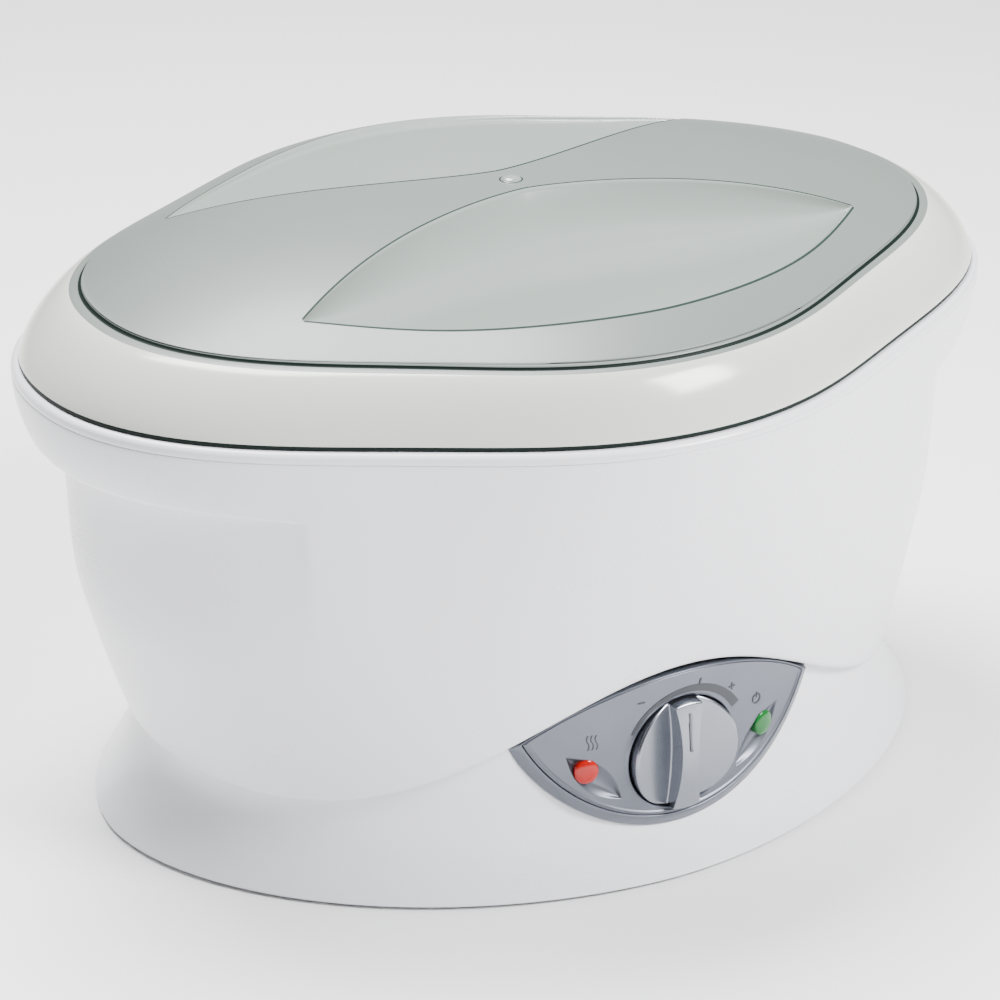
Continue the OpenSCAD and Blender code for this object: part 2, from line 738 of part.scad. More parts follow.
// ---- Cord inlet and wiring ----
module terminal_block() {
    poles = 3;
    color([0.95, 0.95, 0.92])
    translate([-36, 28, plate_top])
    difference() {
        cube([30, 16, 14]);
        for (i = [0:poles - 1])
            translate([5 + i * 10, -1, 7])
            rotate([-90, 0, 0])
            cylinder(h = 18, r = 2);
    }
}
function rear_y() = base_w / 2 - 8;
module cord_bush() {
    flange_t = 2;
    color([0.92, 0.92, 0.92])
    translate([0, rear_y() + 13, inlet_z])
    rotate([90, 0, 0])
    difference() {
        union() {
            cylinder(h = 26, r = inlet_r - 0.05);
            cylinder(h = 6, r1 = inlet_r, r2 = inlet_r + 1.6);
        }
        translate([0, 0, -1]) cylinder(h = 30, r = cord_bore / 2);
    }
}
module cord_clamp() {
    color([0.85, 0.85, 0.85])
    translate([-19, base_w / 2 - 40, inlet_z - 4])
    difference() {
        cube([38, 12, 3]);
        for (x = [5, 33])
            translate([x, 6, -1])
            cylinder(h = 5, r = 1.8);
    }
}
module clamp_screws() {
    color("silver")
    for (x = [-1, 1])
        translate([x * 14, base_w / 2 - 34, inlet_z + 1])
        rotate([180, 0, 0])
        screw_up(1.5, 3, 2, 9);
}
// Leads from the terminal block to the heater ends, and up to the dial switch.
module internal_wires() {
    lead_r = 1.2;
    low_z = plate_top + 7;
    run = 28 - body_y - body_size.y - 10;
    rise = knob_z - 8 - low_z;
    module lead(dir, length) {
        rotate(dir) cylinder(h = length, r = lead_r);
        sphere(r = lead_r);
    }
    color([0.7, 0.2, 0.15])
    for (i = [0, 1])
        translate([-31 + i * 10, 28, low_z]) {
            rotate([90, 0, 0]) cylinder(h = run, r = lead_r);
            translate([0, -run, 0]) lead([0, 0, 0], rise - i * 5);
            translate([0, -run, rise - i * 5]) lead([0, 90, 0], 21 - i * 4);
            translate([21 - i * 4, -run, rise - i * 5]) lead([90, 0, 0], 10);
        }
}

lid();
rim_ring();
housing();
tub();
tub_gasket();
grate();
base();
base_plate();
feet();
foot_screws();
tub_studs();
stud_nuts();
heat_shield();
heater_element();
heater_clamps();
sensor_bulb();
thermal_fuse();
control_panel();
panel_frame();
dial_scale();
panel_icons();
knob();
knob_pointer();
thermostat_shaft();
thermostat_body();
thermostat_nut();
red_lamp_lens();
green_lamp_lens();
signal_lamps();
lamp_holder();
terminal_block();
cord_bush();
cord_clamp();
clamp_screws();
internal_wires();
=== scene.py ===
# %% [markdown]
# # A paraffin wax bath, one piece at a time
# The bath is a heated metal tub inside a white plastic housing. It stands on a flared base, a silver panel
# with one dial sits in the front, and a frosted lid with a grip ridge lies on top. The working model gives
# every piece its place. This lesson gives the visible pieces their final surfaces and finishes.

# %% The working model
import math

import bmesh
import bpy
import numpy as np
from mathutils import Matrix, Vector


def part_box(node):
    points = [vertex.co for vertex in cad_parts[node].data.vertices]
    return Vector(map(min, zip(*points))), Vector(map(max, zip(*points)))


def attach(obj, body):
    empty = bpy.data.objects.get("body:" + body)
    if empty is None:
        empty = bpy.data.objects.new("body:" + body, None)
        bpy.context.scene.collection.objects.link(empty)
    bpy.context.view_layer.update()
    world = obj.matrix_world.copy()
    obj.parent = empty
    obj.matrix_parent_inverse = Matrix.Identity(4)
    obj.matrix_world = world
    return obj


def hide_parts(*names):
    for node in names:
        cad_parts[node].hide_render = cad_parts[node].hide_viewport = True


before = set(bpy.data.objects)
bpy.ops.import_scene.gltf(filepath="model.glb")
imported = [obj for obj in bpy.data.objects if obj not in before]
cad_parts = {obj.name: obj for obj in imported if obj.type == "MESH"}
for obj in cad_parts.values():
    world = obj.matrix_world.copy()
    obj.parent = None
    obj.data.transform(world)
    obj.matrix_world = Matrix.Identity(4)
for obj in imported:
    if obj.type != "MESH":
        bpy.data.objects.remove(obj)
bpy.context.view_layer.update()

MM = 0.001

# %% [markdown]
# ## The camera
# A product view is set by three things: the direction the camera looks from, the point it looks at and the
# length of its lens. A long lens keeps the ovals of the rim and the base calm, so the camera stands back
# about one and a half metres and uses 130 mm.

# %% Camera
VIEW_TURN = math.radians(-29.3)
VIEW_RISE = math.radians(25.2)
VIEW_DISTANCE = 1428.6 * MM
VIEW_POINT = np.array([-4.8, 0.0, 103.3]) * MM
LENS = 129.6


def look_from(turn, rise):
    """Unit vector from the object to the camera: turn about the upright axis, then rise above the table."""
    return np.array([math.sin(turn) * math.cos(rise), -math.cos(turn) * math.cos(rise), math.sin(rise)])


camera = bpy.data.objects.new("camera", bpy.data.cameras.new("camera"))
bpy.context.scene.collection.objects.link(camera)
camera.location = VIEW_POINT + look_from(VIEW_TURN, VIEW_RISE) * VIEW_DISTANCE
camera.rotation_euler = (math.pi / 2 - VIEW_RISE, 0, VIEW_TURN)
camera.data.lens = LENS
camera.data.sensor_width = 36
bpy.context.scene.camera = camera
print("camera at", [round(v, 3) for v in camera.location])

# %% [markdown]
# ## The studio
# Glossy white plastic shows its form only through the reflections of large soft lamps. One broad lamp hangs
# over the lid and one stands high at the right front, so the recess under the left grip falls into shade.
# The floor and the world are almost white, so the edges of the object fade as they do on a light table.

# %% Floor, lamps and world
LAMP_TARGET = np.array([0, 0, 0.1])
FLOOR_HALF = 6


def lamp(name, at, size, power):
    """Square soft lamp that stands at a point and faces a point 100 mm up the middle of the bath."""
    data = bpy.data.lights.new(name, "AREA")
    data.size = size
    data.energy = power
    obj = bpy.data.objects.new(name, data)
    bpy.context.scene.collection.objects.link(obj)
    obj.location = at
    away = np.array(at) - LAMP_TARGET
    obj.rotation_euler = (math.atan2(math.hypot(away[0], away[1]), away[2]), 0, math.atan2(away[0], -away[1]))


lamp("top_lamp", (-0.1, 0.45, 1.5), 0.8, 70)
lamp("key_lamp", (0.7, -1.15, 1.25), 0.6, 62)

world = bpy.data.worlds.new("studio")
world.use_nodes = True
world.node_tree.nodes["Background"].inputs["Color"].default_value = (1, 1, 1, 1)
world.node_tree.nodes["Background"].inputs["Strength"].default_value = 0.26
bpy.context.scene.world = world

floor_mesh = bpy.data.meshes.new("floor")
floor_corners = [(-1, -1), (1, -1), (1, 1), (-1, 1)]
floor_mesh.from_pydata([(x * FLOOR_HALF, y * FLOOR_HALF, 0) for x, y in floor_corners], [], [(0, 1, 2, 3)])
floor = bpy.data.objects.new("floor", floor_mesh)
bpy.context.scene.collection.objects.link(floor)
floor_finish = bpy.data.materials.new("floor_paper")
floor_finish.use_nodes = True
floor_surface = floor_finish.node_tree.nodes["Principled BSDF"]
floor_surface.inputs["Base Color"].default_value = (0.95, 0.95, 0.95, 1)
floor_surface.inputs["Roughness"].default_value = 0.7
floor_mesh.materials.append(floor_finish)
print("studio ready")

# %% [markdown]
# ## Effects that finishes share
# Moulded plastic is never perfectly even. It has a faint mottle in its colour, a very fine grain and softer
# patches where hands have polished it. Each effect could be painted by hand on an image, but noise on the
# piece's own coordinates never repeats and needs no image. Each effect is one node group, built once.

# %% Group helpers


def new_group(name, inputs, outputs):
    """Empty shader group with float or colour inputs (name, default) and outputs (name, kind)."""
    group = bpy.data.node_groups.new(name, "ShaderNodeTree")
    for label, default in inputs:
        kind = "NodeSocketColor" if isinstance(default, tuple) else "NodeSocketFloat"
        socket = group.interface.new_socket(label, in_out="INPUT", socket_type=kind)
        socket.default_value = default
    for label, kind in outputs:
        group.interface.new_socket(label, in_out="OUTPUT", socket_type=kind)
    return group, group.nodes.new("NodeGroupInput"), group.nodes.new("NodeGroupOutput")


def add(tree, kind, **values):
    """New node in a tree; keyword names are its properties, or its inputs when it has such a socket."""
    node = tree.nodes.new(kind)
    for key, value in values.items():
        label = key.replace("_", " ")
        socket = next((s for s in node.inputs if s.name.lower() == label.lower()), None)
        if socket is not None and not hasattr(type(node), key):
            socket.default_value = value
        else:
            setattr(node, key, value)
    return node


def noise_at(tree, scale, detail=3.0):
    """Noise on the piece's own coordinates; scale is a number or a socket to read."""
    place = add(tree, "ShaderNodeTexCoord")
    noise = add(tree, "ShaderNodeTexNoise", Detail=detail)
    tree.links.new(place.outputs["Object"], noise.inputs["Vector"])
    if isinstance(scale, (int, float)):
        noise.inputs["Scale"].default_value = scale
    else:
        tree.links.new(scale, noise.inputs["Scale"])
    return noise


def spread(tree, source, low, high):
    """Map a 0 to 1 value on to the span from low to high, each a number or a socket."""
    node = add(tree, "ShaderNodeMapRange")
    tree.links.new(source, node.inputs["Value"])
    for label, end in (("To Min", low), ("To Max", high)):
        if isinstance(end, (int, float)):
            node.inputs[label].default_value = end
        else:
            tree.links.new(end, node.inputs[label])
    return node.outputs["Result"]


# %% Moulded surface group: mottle, polish and grain


def make_moulded_group():
    """Colour wanders a little between two tones, roughness wanders in large patches, height is fine grain."""
    group, given, made = new_group(
        "moulded_surface",
        [("Tone A", (0.8, 0.8, 0.8, 1)), ("Tone B", (0.75, 0.75, 0.75, 1)), ("Mottle Scale", 30.0),
         ("Rough Low", 0.2), ("Rough High", 0.3), ("Grain Scale", 2500.0)],
        [("Color", "NodeSocketColor"), ("Roughness", "NodeSocketFloat"), ("Height", "NodeSocketFloat")])
    mottle = noise_at(group, given.outputs["Mottle Scale"])
    tone = add(group, "ShaderNodeMix", data_type="RGBA")
    group.links.new(mottle.outputs["Fac"], tone.inputs["Factor"])
    group.links.new(given.outputs["Tone A"], tone.inputs[6])
    group.links.new(given.outputs["Tone B"], tone.inputs[7])
    group.links.new(tone.outputs[2], made.inputs["Color"])
    patches = noise_at(group, 14.0, 5.0)
    fine = noise_at(group, 900.0, 2.0)
    both = add(group, "ShaderNodeMath", operation="MULTIPLY_ADD")
    group.links.new(fine.outputs["Fac"], both.inputs[0])
    both.inputs[1].default_value = 0.25
    group.links.new(patches.outputs["Fac"], both.inputs[2])
    rough = spread(group, both.outputs[0], given.outputs["Rough Low"], given.outputs["Rough High"])
    group.links.new(rough, made.inputs["Roughness"])
    grain = noise_at(group, given.outputs["Grain Scale"], 2.0)
    group.links.new(grain.outputs["Fac"], made.inputs["Height"])
    return group


MOULDED = make_moulded_group()
print("group", MOULDED.name)

# %% Brushed metal group


def make_brushed_group():
    """Noise stretched along X gives hairlines, which tint the colour and drive roughness and height."""
    group, given, made = new_group(
        "brushed_metal",
        [("Tone A", (0.7, 0.7, 0.7, 1)), ("Tone B", (0.6, 0.6, 0.6, 1)), ("Lines", 1800.0),
         ("Rough Low", 0.25), ("Rough High", 0.4)],
        [("Color", "NodeSocketColor"), ("Roughness", "NodeSocketFloat"), ("Height", "NodeSocketFloat")])
    place = add(group, "ShaderNodeTexCoord")
    stretch = add(group, "ShaderNodeMapping")
    stretch.inputs["Scale"].default_value = (0.04, 1, 1)
    group.links.new(place.outputs["Object"], stretch.inputs["Vector"])
    lines = add(group, "ShaderNodeTexNoise", Detail=3.0)
    group.links.new(stretch.outputs["Vector"], lines.inputs["Vector"])
    group.links.new(given.outputs["Lines"], lines.inputs["Scale"])
    tone = add(group, "ShaderNodeMix", data_type="RGBA")
    group.links.new(lines.outputs["Fac"], tone.inputs["Factor"])
    group.links.new(given.outputs["Tone A"], tone.inputs[6])
    group.links.new(given.outputs["Tone B"], tone.inputs[7])
    group.links.new(tone.outputs[2], made.inputs["Color"])
    rough = spread(group, lines.outputs["Fac"], given.outputs["Rough Low"], given.outputs["Rough High"])
    group.links.new(rough, made.inputs["Roughness"])
    group.links.new(lines.outputs["Fac"], made.inputs["Height"])
    return group


BRUSHED = make_brushed_group()
print("group", BRUSHED.name)

# %% One helper that makes a finish from a group
BUMP_HEIGHT = 0.05 * MM


def finish_with(name, group, settings, shader=None, bump=0.1):
    """Material with one shared group wired to colour, roughness and a bump; shader holds socket constants."""
    material = bpy.data.materials.new(name)
    material.use_nodes = True
    tree = material.node_tree
    surface = tree.nodes["Principled BSDF"]
    effect = add(tree, "ShaderNodeGroup", node_tree=group)
    for label, value in settings.items():
        effect.inputs[label].default_value = value
    tree.links.new(effect.outputs["Color"], surface.inputs["Base Color"])
    tree.links.new(effect.outputs["Roughness"], surface.inputs["Roughness"])
    raised = add(tree, "ShaderNodeBump", Strength=bump, Distance=BUMP_HEIGHT)
    tree.links.new(effect.outputs["Height"], raised.inputs["Height"])
    tree.links.new(raised.outputs["Normal"], surface.inputs["Normal"])
    for label, value in (shader or {}).items():
        surface.inputs[label].default_value = value
    return material


WHITE_GLOSS = finish_with(
    "white_gloss_plastic", MOULDED,
    {"Tone A": (0.85, 0.86, 0.9, 1), "Tone B": (0.83, 0.84, 0.885, 1), "Mottle Scale": 22.0,
     "Rough Low": 0.2, "Rough High": 0.34, "Grain Scale": 1400.0},
    {"Coat Weight": 0.25, "Coat Roughness": 0.12, "Specular IOR Level": 0.5}, bump=0.05)
print("finish", WHITE_GLOSS.name)

# %% [markdown]
# ## The two outlines that shape everything
# Seen from above the rim is a rounded, slightly waisted oval, and the foot of the housing is a plain oval.
# Both could be drawn as curves with many handles. A formula is shorter and the same outline can then be
# read at any angle, which is what a surface made of rings needs.

# %% Outlines and heights
RING_BOX = np.array(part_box("rim_ring"))
HOUSING_BOX = np.array(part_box("housing"))
BASE_BOX = np.array(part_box("base"))
RIM_A, RIM_B = RING_BOX[1][:2]
SEAM_Z = HOUSING_BOX[1][2]
RING_TOP = RING_BOX[1][2]
BASE_A, BASE_B = BASE_BOX[1][:2]
BASE_LOW = BASE_BOX[0][2]
BASE_POWER = 1.85
FOOT_A = 159 * MM
FOOT_B = 132 * MM
WALL = 2.6 * MM
GRIP_H = 24 * MM
GRIP_Z = SEAM_Z - GRIP_H
GRIP_DEPTH = 11 * MM
GRIP_SPREAD = math.radians(34)
RIM_POWER = 2.36
FOOT_POWER = 1.97


def oval(a, b, power, turn):
    """Radius of a superellipse with half axes a and b: each axis share raised to the power adds up to one."""
    return (np.abs(np.cos(turn) / a) ** power + np.abs(np.sin(turn) / b) ** power) ** (-1 / power)


def wave(turn):
    """Gentle cosine waves, four and six round the outline, that straighten its flanks."""
    return 1 + 0.072 * np.cos(4 * turn) + 0.005 * np.cos(6 * turn)


def rim(turn):
    """Rim outline: an oval times the waves, scaled so that its half length and half width are exact."""
    return oval(RIM_A / wave(0), RIM_B / wave(math.pi / 2), RIM_POWER, turn) * wave(turn)


def foot(turn):
    """Outline of the housing's lower edge."""
    return oval(FOOT_A, FOOT_B, FOOT_POWER, turn)


def arch(turn):
    """Height of the housing's lower edge: level at the back, in front two cosines arch over the panel."""
    front = np.where(np.sin(turn) < 0, -turn, 0.0)
    return (55.6 - 25.7 * np.cos(2 * front) + 7.45 * np.cos(4 * front)) * MM


def ease(x, low, high):
    """Smooth step from 0 at low to 1 at high."""
    u = np.clip((x - low) / (high - low), 0, 1)
    return u * u * (3 - 2 * u)


def grip_share(turn):
    """1 at the two ends, falling as a cosine to the power 0.7, to 0 at 34 degrees away from them."""
    away = np.arccos(np.clip(np.abs(np.cos(turn)), 0, 1))
    fall = np.clip(away / GRIP_SPREAD * math.pi / 2, 0, math.pi / 2)
    return np.where(away < GRIP_SPREAD, np.cos(fall) ** 0.7, 0.0)


def skin(turn, z):
    """Housing wall without grips: grows from the foot outline to the rim outline as height to the 0.85."""
    share = np.clip((z - arch(turn)) / (SEAM_Z - arch(turn)), 0, 1) ** 0.85
    return foot(turn) + (rim(turn) - foot(turn)) * share


print("rim half axes", round(float(rim(0)), 4), round(float(rim(math.pi / 2)), 4))

# %% [markdown]
# ## Rings into a mesh
# A shell of revolution could be spun with a modifier, but these outlines aren't round. So each piece is a
# stack of rings: row after row of points, with the last row joined to the first where the piece is hollow.
# The points are worked out as whole arrays and handed to the mesh in one go.

# %% Mesh helpers


def put(name, points, faces, material, body, zones=None):
    """Smooth object from points and faces, riding on a body; zones picks each face's material."""
    mesh = bpy.data.meshes.new(name)
    mesh.from_pydata(np.asarray(points, dtype=float).reshape(-1, 3), [], faces)
    for each in material if isinstance(material, list) else [material]:
        mesh.materials.append(each)
    if zones is not None:
        mesh.polygons.foreach_set("material_index", np.asarray(zones, dtype=np.int32))
    mesh.polygons.foreach_set("use_smooth", np.full(len(mesh.polygons), True))
    mesh.update()
    obj = bpy.data.objects.new(name, mesh)
    bpy.context.scene.collection.objects.link(obj)
    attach(obj, body)
    print(name, len(mesh.polygons), "faces")
    return obj


def grid_faces(rows, cols, wrap_rows=False, wrap_cols=True):
    """Quads between neighbouring grid points, facing outwards when columns turn left and rows climb."""
    r = np.arange(rows if wrap_rows else rows - 1)
    c = np.arange(cols if wrap_cols else cols - 1)
    r, c = [m.ravel() for m in np.meshgrid(r, c, indexing="ij")]
    r2, c2 = (r + 1) % rows, (c + 1) % cols
    return np.stack([r * cols + c, r * cols + c2, r2 * cols + c2, r2 * cols + c], 1).tolist()


def border_loop(index):
    """Point numbers once round the border of a grid of point numbers."""
    return np.concatenate([index[:, 0], index[-1, 1:], index[-2::-1, -1], index[0, -2:0:-1]])


def rings(turns, radius, height):
    """Points of rings: radius and height hold one row for each ring and one column for each angle."""
    radius, height = np.broadcast_arrays(radius, height)
    return np.stack([radius * np.cos(turns), radius * np.sin(turns), height], -1)


def hollow_shell(name, turns, radius, height, material, body):
    """Closed wall of rings: up the outside, down the inside, and the last ring joined to the first."""
    points = rings(turns, radius, height)
    return put(name, points, grid_faces(*points.shape[:2], wrap_rows=True), material, body)


AROUND = np.linspace(0, 2 * math.pi, 480, endpoint=False)

# %% [markdown]
# ## The housing
# The housing is one big moulding: a wall that swells upwards, a band at each end to lift the bath by, and a
# recess under each band for the fingers. It could be sculpted by hand. Here each ring asks a formula for its
# radius, so the recess fades into the wall by itself and the arch over the panel stays exact.

# %% Housing


def recess(turn, z):
    """Depth of the finger recess: full just under the band, fading out 70 mm lower and at its two sides."""
    return GRIP_DEPTH * grip_share(turn) * ease(z, GRIP_Z - 70 * MM, GRIP_Z)


def band(turn, z):
    """Radius of the wall above the recess: the rim pulled in by the square of the depth below the seam."""
    share = grip_share(turn)
    pulled = rim(turn) - 6 * MM * ((SEAM_Z - z) / GRIP_H) ** 2
    return share * pulled + (1 - share) * skin(turn, z)


def housing_rows():
    """Radius and height of every ring, from the lower edge up the outside and down the inside."""
    turn = AROUND[None, :]
    low = arch(turn)
    share = grip_share(turn)
    knee = GRIP_Z - 3 * MM
    climb = np.concatenate([[0, 0.4, 1.0, 1.8], np.linspace(3.5, 100, 46)])[:, None] / 100
    z_wall = low + climb * (knee - low)
    edge = np.array([0.9, 0.45, 0.15, 0])[:, None] * MM
    r_wall = skin(turn, z_wall) - recess(turn, z_wall)
    r_wall[:4] -= edge
    z_turn = np.broadcast_to(np.array([-1.6, -0.7, -0.2])[:, None] * MM + GRIP_Z, (3, len(AROUND)))
    r_turn = skin(turn, z_turn) - recess(turn, z_turn)
    z_lip = np.array([0, 0.05, 0.35, 0.9, 1.7, 2.6])[:, None] * MM + GRIP_Z
    r_lip = band(turn, z_lip) - share * np.array([2.6, 1.6, 0.75, 0.28, 0.06, 0])[:, None] * MM
    z_band = np.linspace(GRIP_Z + 4 * MM, SEAM_Z - 0.5 * MM, 12)[:, None]
    r_band = band(turn, z_band)
    z_top = np.array([-0.2, 0.0])[:, None] * MM + SEAM_Z
    r_top = band(turn, z_top) - np.array([0.12, 0.5])[:, None] * MM
    z_in = np.linspace(SEAM_Z, GRIP_Z + WALL, 6)[:, None]
    r_in = band(turn, z_in) - WALL
    z_in_low = low + np.array([0.999, 0.9, 0.8, 0.6, 0.4, 0.2, 0.0])[:, None] * (GRIP_Z - 0.5 * MM - low)
    r_in_low = skin(turn, z_in_low) - recess(turn, z_in_low) - WALL
    radius = [r_wall, r_turn, r_lip, r_band, r_top, r_in, r_in_low]
    height = [z_wall, z_turn, z_lip, z_band, z_top, z_in, z_in_low]
    height = [np.broadcast_to(h, r.shape) for h, r in zip(height, radius)]
    return np.concatenate(radius), np.concatenate(height)


housing_shell = hollow_shell("housing_shell", AROUND, *housing_rows(), WHITE_GLOSS, "shell")
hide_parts("housing")

# %% [markdown]
# ## The rim ring
# A separate ring covers the joint between housing and tub. Its outer corner is turned over in a soft round,
# which draws the fine bright line round the whole bath. A profile of a few points, moved inwards from the
# rim outline, is all it needs.

# %% Rim ring
REACH = 28.5 * MM
LIP = 2 * MM


def rim_profile(name, profile, material, body):
    """Closed shell whose cross-section is a list of (inward shift, height) pairs, carried round the rim."""
    shift = np.array([p[0] for p in profile])[:, None]
    height = np.array([p[1] for p in profile])[:, None]
    return hollow_shell(name, AROUND, rim(AROUND)[None, :] - shift, height, material, body)


def round_corner(centre, size, start, end, steps=7):
    """Points of an arc in the (inward shift, height) plane; angles in degrees, 180 points outwards."""
    a = np.radians(np.linspace(start, end, steps))
    return [(centre[0] + size * math.cos(v), centre[1] + size * math.sin(v)) for v in a]


ring_profile = ([(0.35 * MM, SEAM_Z + 0.02 * MM), (0.08 * MM, SEAM_Z + 0.12 * MM), (0.0, SEAM_Z + 0.4 * MM)]
                + round_corner((2.6 * MM, RING_TOP - 2.6 * MM), 2.6 * MM, 180, 90)
                + round_corner((REACH - 1.2 * MM, RING_TOP - 1.2 * MM), 1.2 * MM, 90, 0)
                + [(REACH, SEAM_Z - 4.4 * MM), (REACH - 0.5 * MM, SEAM_Z - 5 * MM),
                   (REACH - LIP + 0.3 * MM, SEAM_Z - 5 * MM), (REACH - LIP, SEAM_Z - 4.4 * MM),
                   (REACH - LIP, SEAM_Z + 0.02 * MM)])
rim_cover = rim_profile("rim_cover", ring_profile, WHITE_GLOSS, "shell")
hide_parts("rim_ring")

# %% [markdown]
# ## The base
# The base is a skirt that flares out on to the table. In front it stops along the lower edge of the panel,
# so its top edge follows the panel's arc there and tucks up inside the housing everywhere else.

# %% The panel's leaf outline
PANEL_R = 150 * MM
PANEL_Y = -FOOT_B + 0.5 * MM
AXIS_Y = PANEL_Y + PANEL_R
PANEL_HALF = 66 * MM
PANEL_LOW = 22 * MM
PANEL_HIGH = float(arch(np.array(-math.pi / 2))) - 2 * MM
CORNER_Z = float(arch(np.array(-math.pi / 3))) - 1.7 * MM
LOW_R = (PANEL_HALF ** 2 + (CORNER_Z - PANEL_LOW) ** 2) / (2 * (CORNER_Z - PANEL_LOW))
HIGH_R = (PANEL_HALF ** 2 + (PANEL_HIGH - CORNER_Z) ** 2) / (2 * (PANEL_HIGH - CORNER_Z))
print("panel arcs", round(LOW_R, 4), round(HIGH_R, 4), "from", PANEL_LOW, "to", round(PANEL_HIGH, 4))

# %% Base skirt
NECK_A = FOOT_A - WALL - 0.5 * MM
NECK_B = FOOT_B - WALL - 2.5 * MM
FLARE_H = 36 * MM


def base_radius(turn, z):
    """Base outline at a height: it runs from the wide oval on the table to the neck, fast at first."""
    share = 1 - (1 - np.clip((z - BASE_LOW) / FLARE_H, 0, 1)) ** 1.7
    wide, neck = oval(BASE_A, BASE_B, BASE_POWER, turn), oval(NECK_A, NECK_B, FOOT_POWER, turn)
    return wide * (1 - share) + neck * share


def base_top(turn):
    """Height of the top edge: 6 mm up in the housing, or the panel's lower arc where that is lower."""
    tucked = arch(turn) + 6 * MM
    x = oval(NECK_A, NECK_B, FOOT_POWER, turn) * np.cos(turn)
    inside = (np.abs(x) < PANEL_HALF) & (np.sin(turn) < 0)
    arc = PANEL_LOW + LOW_R - np.sqrt(np.clip(LOW_R ** 2 - x ** 2, 0, None)) - 0.2 * MM
    return np.where(inside, np.minimum(arc, tucked), tucked)


def base_rows():
    """Rings of the skirt: a rounded lip on the table, the flare, the top edge and the inside back down."""
    turn = AROUND[None, :]
    top = base_top(turn)
    lip_z = np.array([0, 0.0, 0.12, 0.35, 0.9, 1.4])[:, None] * MM + BASE_LOW
    lip_r = base_radius(turn, lip_z) - np.array([WALL / MM, 0.55, 0.2, 0.04, 0, 0])[:, None] * MM
    climb = np.linspace(0.02, 1, 40)[:, None] ** 1.2
    z = BASE_LOW + 1.4 * MM + climb * (top - BASE_LOW - 1.4 * MM)
    inner = np.linspace(1, 0.03, 12)[:, None]
    z_in = BASE_LOW + inner * (top - BASE_LOW)
    radius = np.concatenate([lip_r, base_radius(turn, z), base_radius(turn, z_in) - WALL])
    height = np.concatenate([np.broadcast_to(lip_z, lip_r.shape), z, z_in])
    return radius, height


base_skirt = hollow_shell("base_skirt", AROUND, *base_rows(), WHITE_GLOSS, "shell")
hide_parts("base")

# %% [markdown]
# ## The lid
# The lid is one thin frosted moulding: a rounded shoulder, a small step, and a low dome with two leaf-shaped
# finger hollows that leave a ridge to hold. A round grid would cut the leaves at an angle and leave jagged
# edges. So the dome gets a grid whose rows bend: some rows run exactly along the edges of the leaves.

# %% Lid surface
LID_WALL = 2.2 * MM
STEP_IN = 17 * MM
STEP_END = 10 * MM
DOME_EDGE = RING_TOP + 26.5 * MM
DOME_RISE = 21 * MM
LEAF_X = 0.295 * 2 * RIM_A
RIDGE_HALF = 11.5 * MM
HOLLOW_DEPTH = 17 * MM
CREASE_SHADE_WIDTH = 1.1 * MM
LEAF_ROWS = 45


def step_in(turn):
    """How far inside the rim the step runs: further at the two ends, so the shoulder is wider there."""
    return STEP_IN + STEP_END * np.cos(turn) ** 4


def dome_limit(turn):
    """Outline of the dome: the rim outline pulled in past the step."""
    return rim(turn) - step_in(turn) - 2 * MM


def dome(x, y):
    """Dome height: highest in the middle, falling with the cube of the way out to the step."""
    turn = np.arctan2(y, x)
    way = np.clip(np.hypot(x, y) / dome_limit(turn), 0, 1)
    return DOME_EDGE + DOME_RISE * (1 - way ** 3)


def ridge_edge(x):
    """Distance of the ridge's edge from the middle line: it widens with the power 1.5 towards the tips."""
    return RIDGE_HALF + 0.154 * 2 * RIM_B * (np.abs(x) / LEAF_X) ** 1.5


def leaf_edge(x):
    """Outer edge of the leaf: falls back towards the tip with the power 1.9."""
    return 0.37 * 2 * RIM_B - (0.216 * 2 * RIM_B - RIDGE_HALF) * (np.abs(x) / LEAF_X) ** 1.9


def hollow(x, y):
    """Depth of a finger hollow: a steep curved wall under the ridge, then a floor that rises to the rim."""
    inside = np.clip(1 - (x / LEAF_X) ** 2, 0, 1)
    width = np.maximum(leaf_edge(x) - ridge_edge(x), 1e-6)
    across = (np.abs(y) - ridge_edge(x)) / width
    wall = 1 - (1 - np.clip(across / 0.3, 0, 1)) ** 2.2
    floor_rise = 1 - 0.86 * np.clip((across - 0.3) / 0.7, 0, 1) ** 1.3
    lip = np.clip((1 - across) * width / (1.2 * MM), 0, 1)
    depth = HOLLOW_DEPTH * inside ** 0.75 * wall * floor_rise * lip
    return np.where((across > 0) & (across < 1) & (np.abs(x) < LEAF_X), depth, 0.0)


